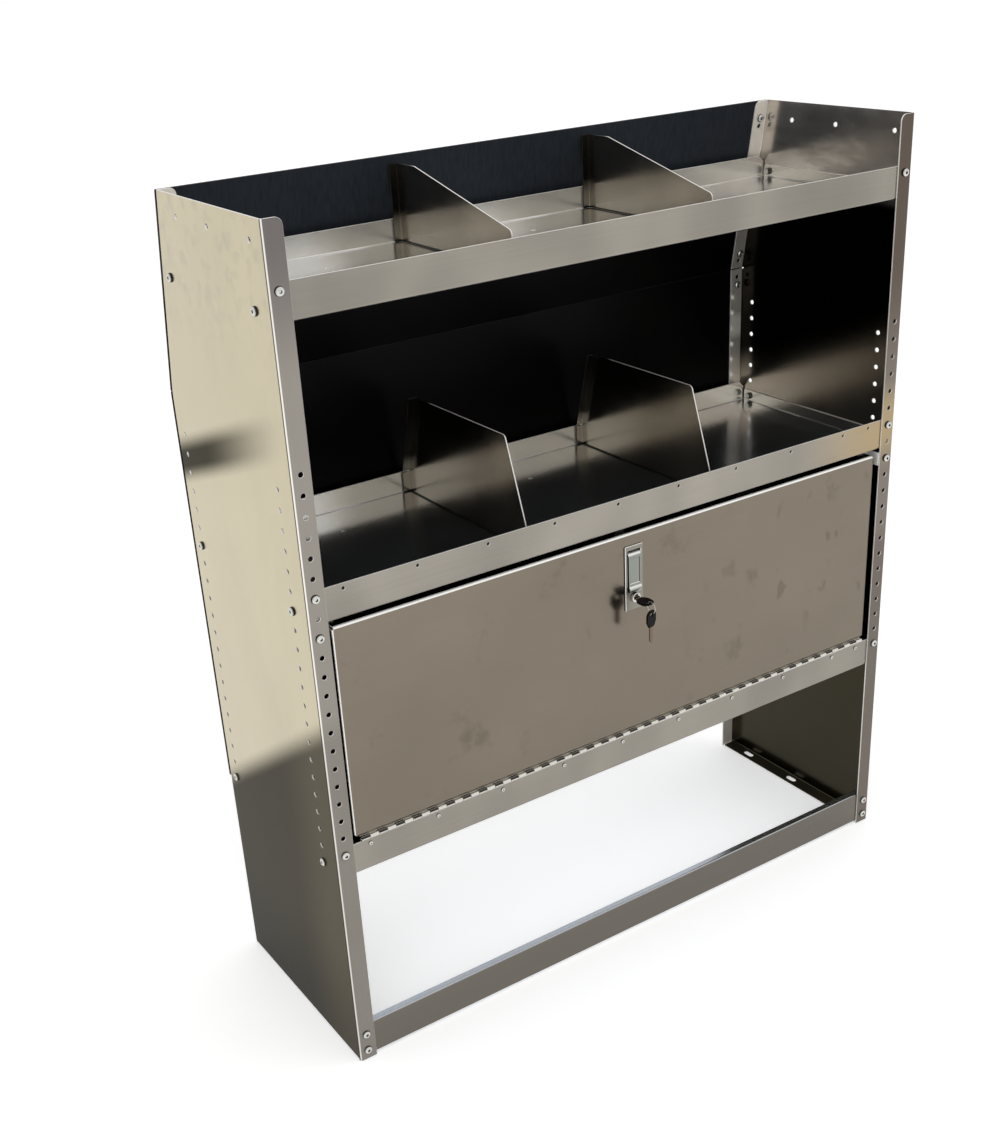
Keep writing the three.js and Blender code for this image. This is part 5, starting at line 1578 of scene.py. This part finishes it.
def make_keys():
    """The key in the lock, and the spare key that hangs from it on a split ring."""
    key = node_box("key_in_lock")
    in_lock = Matrix.Translation((0, key.low.y + BOW_LENGTH, key.middle.z))
    in_lock @= Matrix.Rotation(math.pi, 4, "Z")
    make_key(in_lock, "key_in_lock_cut", "lock", "key_in_lock")

    ring = node_box("key_ring").middle
    spare = node_box("spare_key")
    hanging = Matrix.Translation((0, ring.y, spare.high.z - BOW_LENGTH))
    hanging @= Matrix.Rotation(KEY_YAW, 4, "Z") @ Matrix.Rotation(QUARTER, 4, "X")
    make_key(hanging, "spare_key_cut", "spare_key", "spare_key")

    # The split ring is one wire wound twice round
    wire = RING_WIRE / 2
    outward_reach, sideways_reach = wire * 1.9, wire * 0.95
    rings = []
    for step in range(RING_STEPS + 1):
        angle = 4 * math.pi * step / RING_STEPS + RING_START
        drift = (step / RING_STEPS - 0.5) * 2 * wire
        outward = Vector((0, math.cos(angle), math.sin(angle)))
        centre = Vector((drift, ring.y, ring.z)) + outward * RING_RADIUS
        rings.append([centre + outward * outward_reach * math.cos(turn)
                      + Vector((sideways_reach * math.sin(turn), 0, 0))
                      for turn in [math.pi * place / 5 for place in range(10)]])
    Shape().add_rings(rings).make("split_key_ring", "ring", ["key_ring"], "zinc",
                                  finish_named("zinc"))


# Screws

def hexagon_radius(reach, turn):
    """The radius of a hexagon with this reach to its corners, as a function of the angle."""
    half_side = math.pi / 6

    def radius(angle):
        from_middle = (angle - turn) % (2 * half_side) - half_side
        return reach * math.cos(half_side) / math.cos(from_middle)
    return radius


def screw_rings(grip, turn):
    """A button head with a six-sided socket, its shank and its nut, along +Y from the seat."""
    nut = grip + 2 * CASE_GAP
    top, end = -SCREW_HEAD_HEIGHT, nut + NUT_HEIGHT
    nut_radius = hexagon_radius(NUT_RADIUS, turn * 2)
    return turned_rings([
        (hexagon_radius(1.9, turn), top + 1.9), (hexagon_radius(2.2, turn), top + 0.25),
        (hexagon_radius(2.5, turn), top + 0.02), (3.2, top), (4.1, top + 0.3), (4.9, top + 0.85),
        (5.5, top + 1.7), (5.8, top + 2.7), (5.7, -0.1), (5.2, 0), (2.6, 0), (2.6, nut),
        (4.8, nut), (nut_radius, nut + 0.45), (nut_radius, end - 0.6), (4.8, end - 0.05),
        (3.0, end - 0.05), (2.6, end - 0.5), (2.4, end - 0.3), (1.6, end - 0.15),
    ], (0, 0), SCREW_SIDES)


def make_screws():
    """Every screw with its nut, each turned a little differently."""
    golden_turn = math.pi * (3 - math.sqrt(5))
    names = sorted(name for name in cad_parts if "_screw_" in name)
    for place, name in enumerate(names):
        box = node_box(name)
        middle = box.middle
        sign = -1 if "_left_" in name else 1
        grip = REAR_GRIP if name.startswith("rear") else PANEL_GRIP
        if name.startswith("web"):
            seat_x = sign * (max(-box.low.x, box.high.x) - SCREW_HEAD_HEIGHT)
            seat = Matrix.Translation((seat_x, middle.y, middle.z))
            seat @= Matrix.Rotation(sign * QUARTER, 4, "Z")
        elif "_upper_" in name:
            distance = REAR_SCREW_INSET if name.endswith("seam") else LEAN_LENGTH - REAR_SCREW_INSET
            seat = Matrix.Translation(lean(sign * HOLE_X, -SHEET - CASE_GAP, distance))
            seat @= Matrix.Rotation(LEAN_ANGLE, 4, "X")
        else:
            seat = Matrix.Translation((middle.x, box.low.y + SCREW_HEAD_HEIGHT, middle.z))
        rings = [[seat @ Vector(point) for point in ring]
                 for ring in screw_rings(grip, place * golden_turn)]
        look = "screw_x" if name.startswith("web") else "screw_y"
        Shape().add_rings(rings).make(f"{name}_button", "frame", [name], "zinc",
                                      finish_named(look))


# Stage

def make_stage():
    """Pale floor, white surroundings, soft lights and the camera."""
    settings = bpy.context.scene.shelving_stage
    scene = bpy.context.scene
    reach = settings.floor_reach
    mesh = bpy.data.meshes.new("studio_floor")
    mesh.from_pydata([(-reach, -reach, 0), (reach, -reach, 0), (reach, reach, 0),
                      (-reach, reach, 0)], [], [(0, 1, 2, 3)])
    mesh.materials.append(finish_named("floor"))
    floor = bpy.data.objects.new("studio_floor", mesh)
    floor.location.z = -FLOOR_DROP * MILLIMETRE
    scene.collection.objects.link(floor)

    world = bpy.data.worlds.new("studio")
    scene.world = world
    world.use_nodes = True
    nodes, links = world.node_tree.nodes, world.node_tree.links
    nodes.clear()
    lighting = nodes.new("ShaderNodeBackground")
    lighting.inputs["Strength"].default_value = settings.world_strength
    white = nodes.new("ShaderNodeBackground")
    white.inputs["Color"].default_value = (1, 1, 1, 1)
    mixed = nodes.new("ShaderNodeMixShader")
    links.new(seen_rays(world.node_tree), mixed.inputs[0])
    links.new(lighting.outputs[0], mixed.inputs[1])
    links.new(white.outputs[0], mixed.inputs[2])
    links.new(mixed.outputs[0], nodes.new("ShaderNodeOutputWorld").inputs[0])

    for name, place, target, size, power in (
            ("key_light", (-1.6, -2.6, 2.8), (0, 0, 0.6), 2.4, settings.key_power),
            ("fill_light", (2.4, -1.8, 2.0), (0, 0, 0.5), 2.0, settings.fill_power)):
        lamp = bpy.data.lights.new(name, "AREA")
        lamp.size = size
        lamp.energy = power
        light = bpy.data.objects.new(name, lamp)
        light.visible_glossy = False
        light.location = place
        light.rotation_euler = (Vector(target) - Vector(place)).to_track_quat("-Z", "Y").to_euler()
        scene.collection.objects.link(light)

    lens = bpy.data.cameras.new("photo_camera")
    lens.sensor_fit = "VERTICAL"
    lens.sensor_height = CAMERA_SENSOR
    lens.lens = CAMERA_LENS
    lens.shift_x, lens.shift_y = CAMERA_SHIFT
    camera = bpy.data.objects.new("photo_camera", lens)
    camera.location = CAMERA_PLACE
    camera.rotation_euler = CAMERA_TURN
    scene.collection.objects.link(camera)
    scene.camera = camera
    scene.view_settings.view_transform = "Standard"


# The add-on: settings, operators and panel

class ShelvingSheetSettings(bpy.types.PropertyGroup):
    """How finely the sheet metal is built."""
    hole_sides: IntProperty(name="Hole sides", description="Corners of each round hole",
                            default=20, min=8, max=64)
    bend_steps: IntProperty(name="Bend steps", description="Facets across a right-angle bend",
                            default=6, min=2, max=24)
    rib_pitch: FloatProperty(name="Rib pitch",
                             description="Spacing of the back sheets' ribs, in millimetres",
                             default=4.6, min=1, max=50)
    rib_depth: FloatProperty(name="Rib depth",
                             description="Depth of the back sheets' ribs, in millimetres",
                             default=0.22, min=0, max=1)


def colour_property(name, description, default):
    return FloatVectorProperty(name=name, description=description, subtype="COLOR_GAMMA",
                               default=default, min=0, max=1)


class ShelvingColourSettings(bpy.types.PropertyGroup):
    """Colours as they are seen on a screen."""
    # Painted reflection of a pale room on the webs' outer faces
    web_pale: colour_property("Web, pale", "Outer faces, upper part", (0.76, 0.72, 0.61))
    web_smear: colour_property("Web, smear", "Smears at the top of the webs", (0.56, 0.54, 0.50))
    # Painted reflection of a soft dark band on the outer faces
    web_band: colour_property("Web, band", "Soft dark band on the outer faces", (0.22, 0.20, 0.13))
    # Painted reflection of the dark floor and painted shade on panels and door, and the door's
    # finger marks
    web_dark: colour_property("Web, dark", "Outer faces, lower part", (0.26, 0.24, 0.19))
    # Painted reflections of the room in front on the front flanges, greyer at the top
    flange: colour_property("Flange", "Left front flange", (0.56, 0.54, 0.51))
    flange_top: colour_property("Flange, top", "Left front flange, top", (0.45, 0.43, 0.42))
    flange_right: colour_property("Flange, right", "Right front flange", (0.48, 0.45, 0.42))
    flange_top_right: colour_property("Flange, top right", "Right front flange, top",
                                      (0.375, 0.335, 0.30))
    # Painted warm highlight above the door
    gleam: colour_property("Gleam", "Warm gleam above the door", (0.64, 0.57, 0.45))
    # Painted light on the front faces of the rear flanges
    rear_flange: colour_property("Rear flange", "Front faces of the rear flanges",
                                 (0.91, 0.88, 0.83))
    # Painted reflections and painted light on the faces towards the bays
    inner_face: colour_property("Inner face", "Faces towards the bays", (0.79, 0.75, 0.70))
    inner_top: colour_property("Inner face, top", "Faces towards the top bay", (0.86, 0.83, 0.80))
    inner_foot: colour_property("Inner face, foot", "Faces below the cabinet",
                                (0.225, 0.21, 0.165))
    # Painted reflection of the room in front on the lips
    lip: colour_property("Lip", "Front lips", (0.58, 0.56, 0.525))
    rail: colour_property("Rail", "Bottom front rail", (0.44, 0.42, 0.39))
    # Rear lips and tray floors painted pale with reflected light
    rear_lip: colour_property("Rear lip", "Inner face of the rear lips", (0.90, 0.88, 0.84))
    tray_floor: colour_property("Tray floor", "Floors of the trays", (0.88, 0.895, 0.915))
    divider: colour_property("Divider", "Dividers", (0.67, 0.64, 0.59))
    # Painted reflection of the room in front on the door
    door: colour_property("Door", "Door pan", (0.48, 0.445, 0.40))
    cut_edge: colour_property("Cut edge", "Sheared edges and bend highlights", (0.95, 0.94, 0.92))
    bright_bend: colour_property("Bright bend", "Rounded edges that catch the light",
                                 (0.98, 0.975, 0.96))
    back_sheet: colour_property("Back sheet", "Black sheets at the rear", (0.01, 0.01, 0.012))
    # Back sheet painted lighter as lit in the top bay
    back_sheet_top: colour_property("Back sheet, top", "Back sheet in the top bay",
                                    (0.15, 0.165, 0.185))
    hinge: colour_property("Hinge", "Piano hinge", (0.84, 0.83, 0.80))
    zinc: colour_property("Zinc", "Screws, lock and ring", (0.82, 0.82, 0.80))
    # Painted shade on screw rims and sockets and under sheared edges, and a painted dark reflection
    # on the fixed hinge knuckles
    screw_dark: colour_property("Screw, dark", "Rims and sockets of the screws",
                                (0.22, 0.21, 0.20))
    key_blade: colour_property("Key blade", "Key blades", (0.45, 0.38, 0.32))
    latch: colour_property("Latch", "Latch casting", (0.55, 0.54, 0.50))
    latch_panel: colour_property("Lever", "Pull lever", (0.565, 0.58, 0.55))
    # Painted shade inside the latch and round the lever
    latch_shade: colour_property("Latch recess", "Inside of the latch", (0.12, 0.12, 0.12))
    key_bow: colour_property("Key bow", "Black key heads", (0.03, 0.03, 0.033))


class ShelvingStageSettings(bpy.types.PropertyGroup):
    """Floor and light."""
    floor_colour: colour_property("Floor", "Colour of the floor", (0.985, 0.985, 0.985))
    floor_reach: FloatProperty(name="Floor reach", description="Half of the floor's side",
                               default=40.0, min=1, subtype="DISTANCE", unit="LENGTH")
    floor_glow: FloatProperty(name="Floor glow",
                              description="Light added to the floor as it is seen",
                              default=0.38, min=0, max=1)
    world_strength: FloatProperty(name="World strength", description="Light from all around",
                                  default=0.86, min=0, max=2)
    key_power: FloatProperty(name="Key light", description="Power of the key light",
                             default=26.0, min=0, subtype="POWER")
    fill_power: FloatProperty(name="Fill light", description="Power of the fill light",
                              default=10.0, min=0, subtype="POWER")


class SHELVING_OT_end_panels(bpy.types.Operator):
    """Fold both end panels with their rows of holes."""
    bl_idname = "shelving.end_panels"
    bl_label = "End Panels"
    bl_options = {"REGISTER", "UNDO"}

    def execute(self, context):
        make_end_panels()
        return {"FINISHED"}


class SHELVING_OT_trays(bpy.types.Operator):
    """Fold the three trays and the bottom rail."""
    bl_idname = "shelving.trays"
    bl_label = "Trays and Rail"
    bl_options = {"REGISTER", "UNDO"}

    def execute(self, context):
        make_trays()
        return {"FINISHED"}


class SHELVING_OT_dividers(bpy.types.Operator):
    """Fold the four dividers."""
    bl_idname = "shelving.dividers"
    bl_label = "Dividers"
    bl_options = {"REGISTER", "UNDO"}

    def execute(self, context):
        make_dividers()
        return {"FINISHED"}


class SHELVING_OT_back_sheets(bpy.types.Operator):
    """Make the two ribbed back sheets."""
    bl_idname = "shelving.back_sheets"
    bl_label = "Back Sheets"
    bl_options = {"REGISTER", "UNDO"}

    def execute(self, context):
        make_back_sheets()
        return {"FINISHED"}


class SHELVING_OT_door(bpy.types.Operator):
    """Fold the door pan and bend its two stops."""
    bl_idname = "shelving.door"
    bl_label = "Door and Stops"
    bl_options = {"REGISTER", "UNDO"}

    def execute(self, context):
        make_door()
        return {"FINISHED"}


class SHELVING_OT_hinge(bpy.types.Operator):
    """Roll both leaves of the piano hinge round its pin."""
    bl_idname = "shelving.hinge"
    bl_label = "Piano Hinge"
    bl_options = {"REGISTER", "UNDO"}

    def execute(self, context):
        make_hinge()
        return {"FINISHED"}


class SHELVING_OT_latch(bpy.types.Operator):
    """Build the latch housing, pull lever and lock."""
    bl_idname = "shelving.latch"
    bl_label = "Latch and Lock"
    bl_options = {"REGISTER", "UNDO"}

    def execute(self, context):
        make_latch()
        return {"FINISHED"}


class SHELVING_OT_keys(bpy.types.Operator):
    """Cut both keys and wind their ring."""
    bl_idname = "shelving.keys"
    bl_label = "Keys"
    bl_options = {"REGISTER", "UNDO"}

    def execute(self, context):
        make_keys()
        return {"FINISHED"}


class SHELVING_OT_screws(bpy.types.Operator):
    """Turn every screw with its nut."""
    bl_idname = "shelving.screws"
    bl_label = "Screws"
    bl_options = {"REGISTER", "UNDO"}

    def execute(self, context):
        make_screws()
        return {"FINISHED"}


class SHELVING_OT_stage(bpy.types.Operator):
    """Set the floor, the lights and the camera."""
    bl_idname = "shelving.stage"
    bl_label = "Stage"
    bl_options = {"REGISTER", "UNDO"}

    def execute(self, context):
        make_stage()
        return {"FINISHED"}


OPERATORS = (
    SHELVING_OT_end_panels, SHELVING_OT_trays, SHELVING_OT_dividers, SHELVING_OT_back_sheets,
    SHELVING_OT_door, SHELVING_OT_hinge, SHELVING_OT_latch, SHELVING_OT_keys,
    SHELVING_OT_screws, SHELVING_OT_stage,
)


class SHELVING_PT_panel(bpy.types.Panel):
    """Lists the settings and the operators."""
    bl_label = "Van Shelving Unit"
    bl_idname = "SHELVING_PT_panel"
    bl_space_type = "VIEW_3D"
    bl_region_type = "UI"
    bl_category = "Shelving"

    def draw(self, context):
        layout = self.layout
        for settings in (context.scene.shelving_sheets, context.scene.shelving_colours,
                         context.scene.shelving_stage):
            box = layout.box()
            for key in setting_names(settings):
                box.prop(settings, key)
        for operator in OPERATORS:
            layout.operator(operator.bl_idname)


SETTINGS = {
    "shelving_sheets": ShelvingSheetSettings,
    "shelving_colours": ShelvingColourSettings,
    "shelving_stage": ShelvingStageSettings,
}


def register():
    for kind in (*SETTINGS.values(), *OPERATORS, SHELVING_PT_panel):
        bpy.utils.register_class(kind)
    for name, kind in SETTINGS.items():
        setattr(bpy.types.Scene, name, PointerProperty(type=kind))


def unregister():
    for name in SETTINGS:
        delattr(bpy.types.Scene, name)
    for kind in (SHELVING_PT_panel, *reversed(OPERATORS), *SETTINGS.values()):
        bpy.utils.unregister_class(kind)


def main():
    register()
    for operator in OPERATORS:
        group, name = operator.bl_idname.split(".")
        getattr(getattr(bpy.ops, group), name)()


if __name__ == "__main__":
    main()
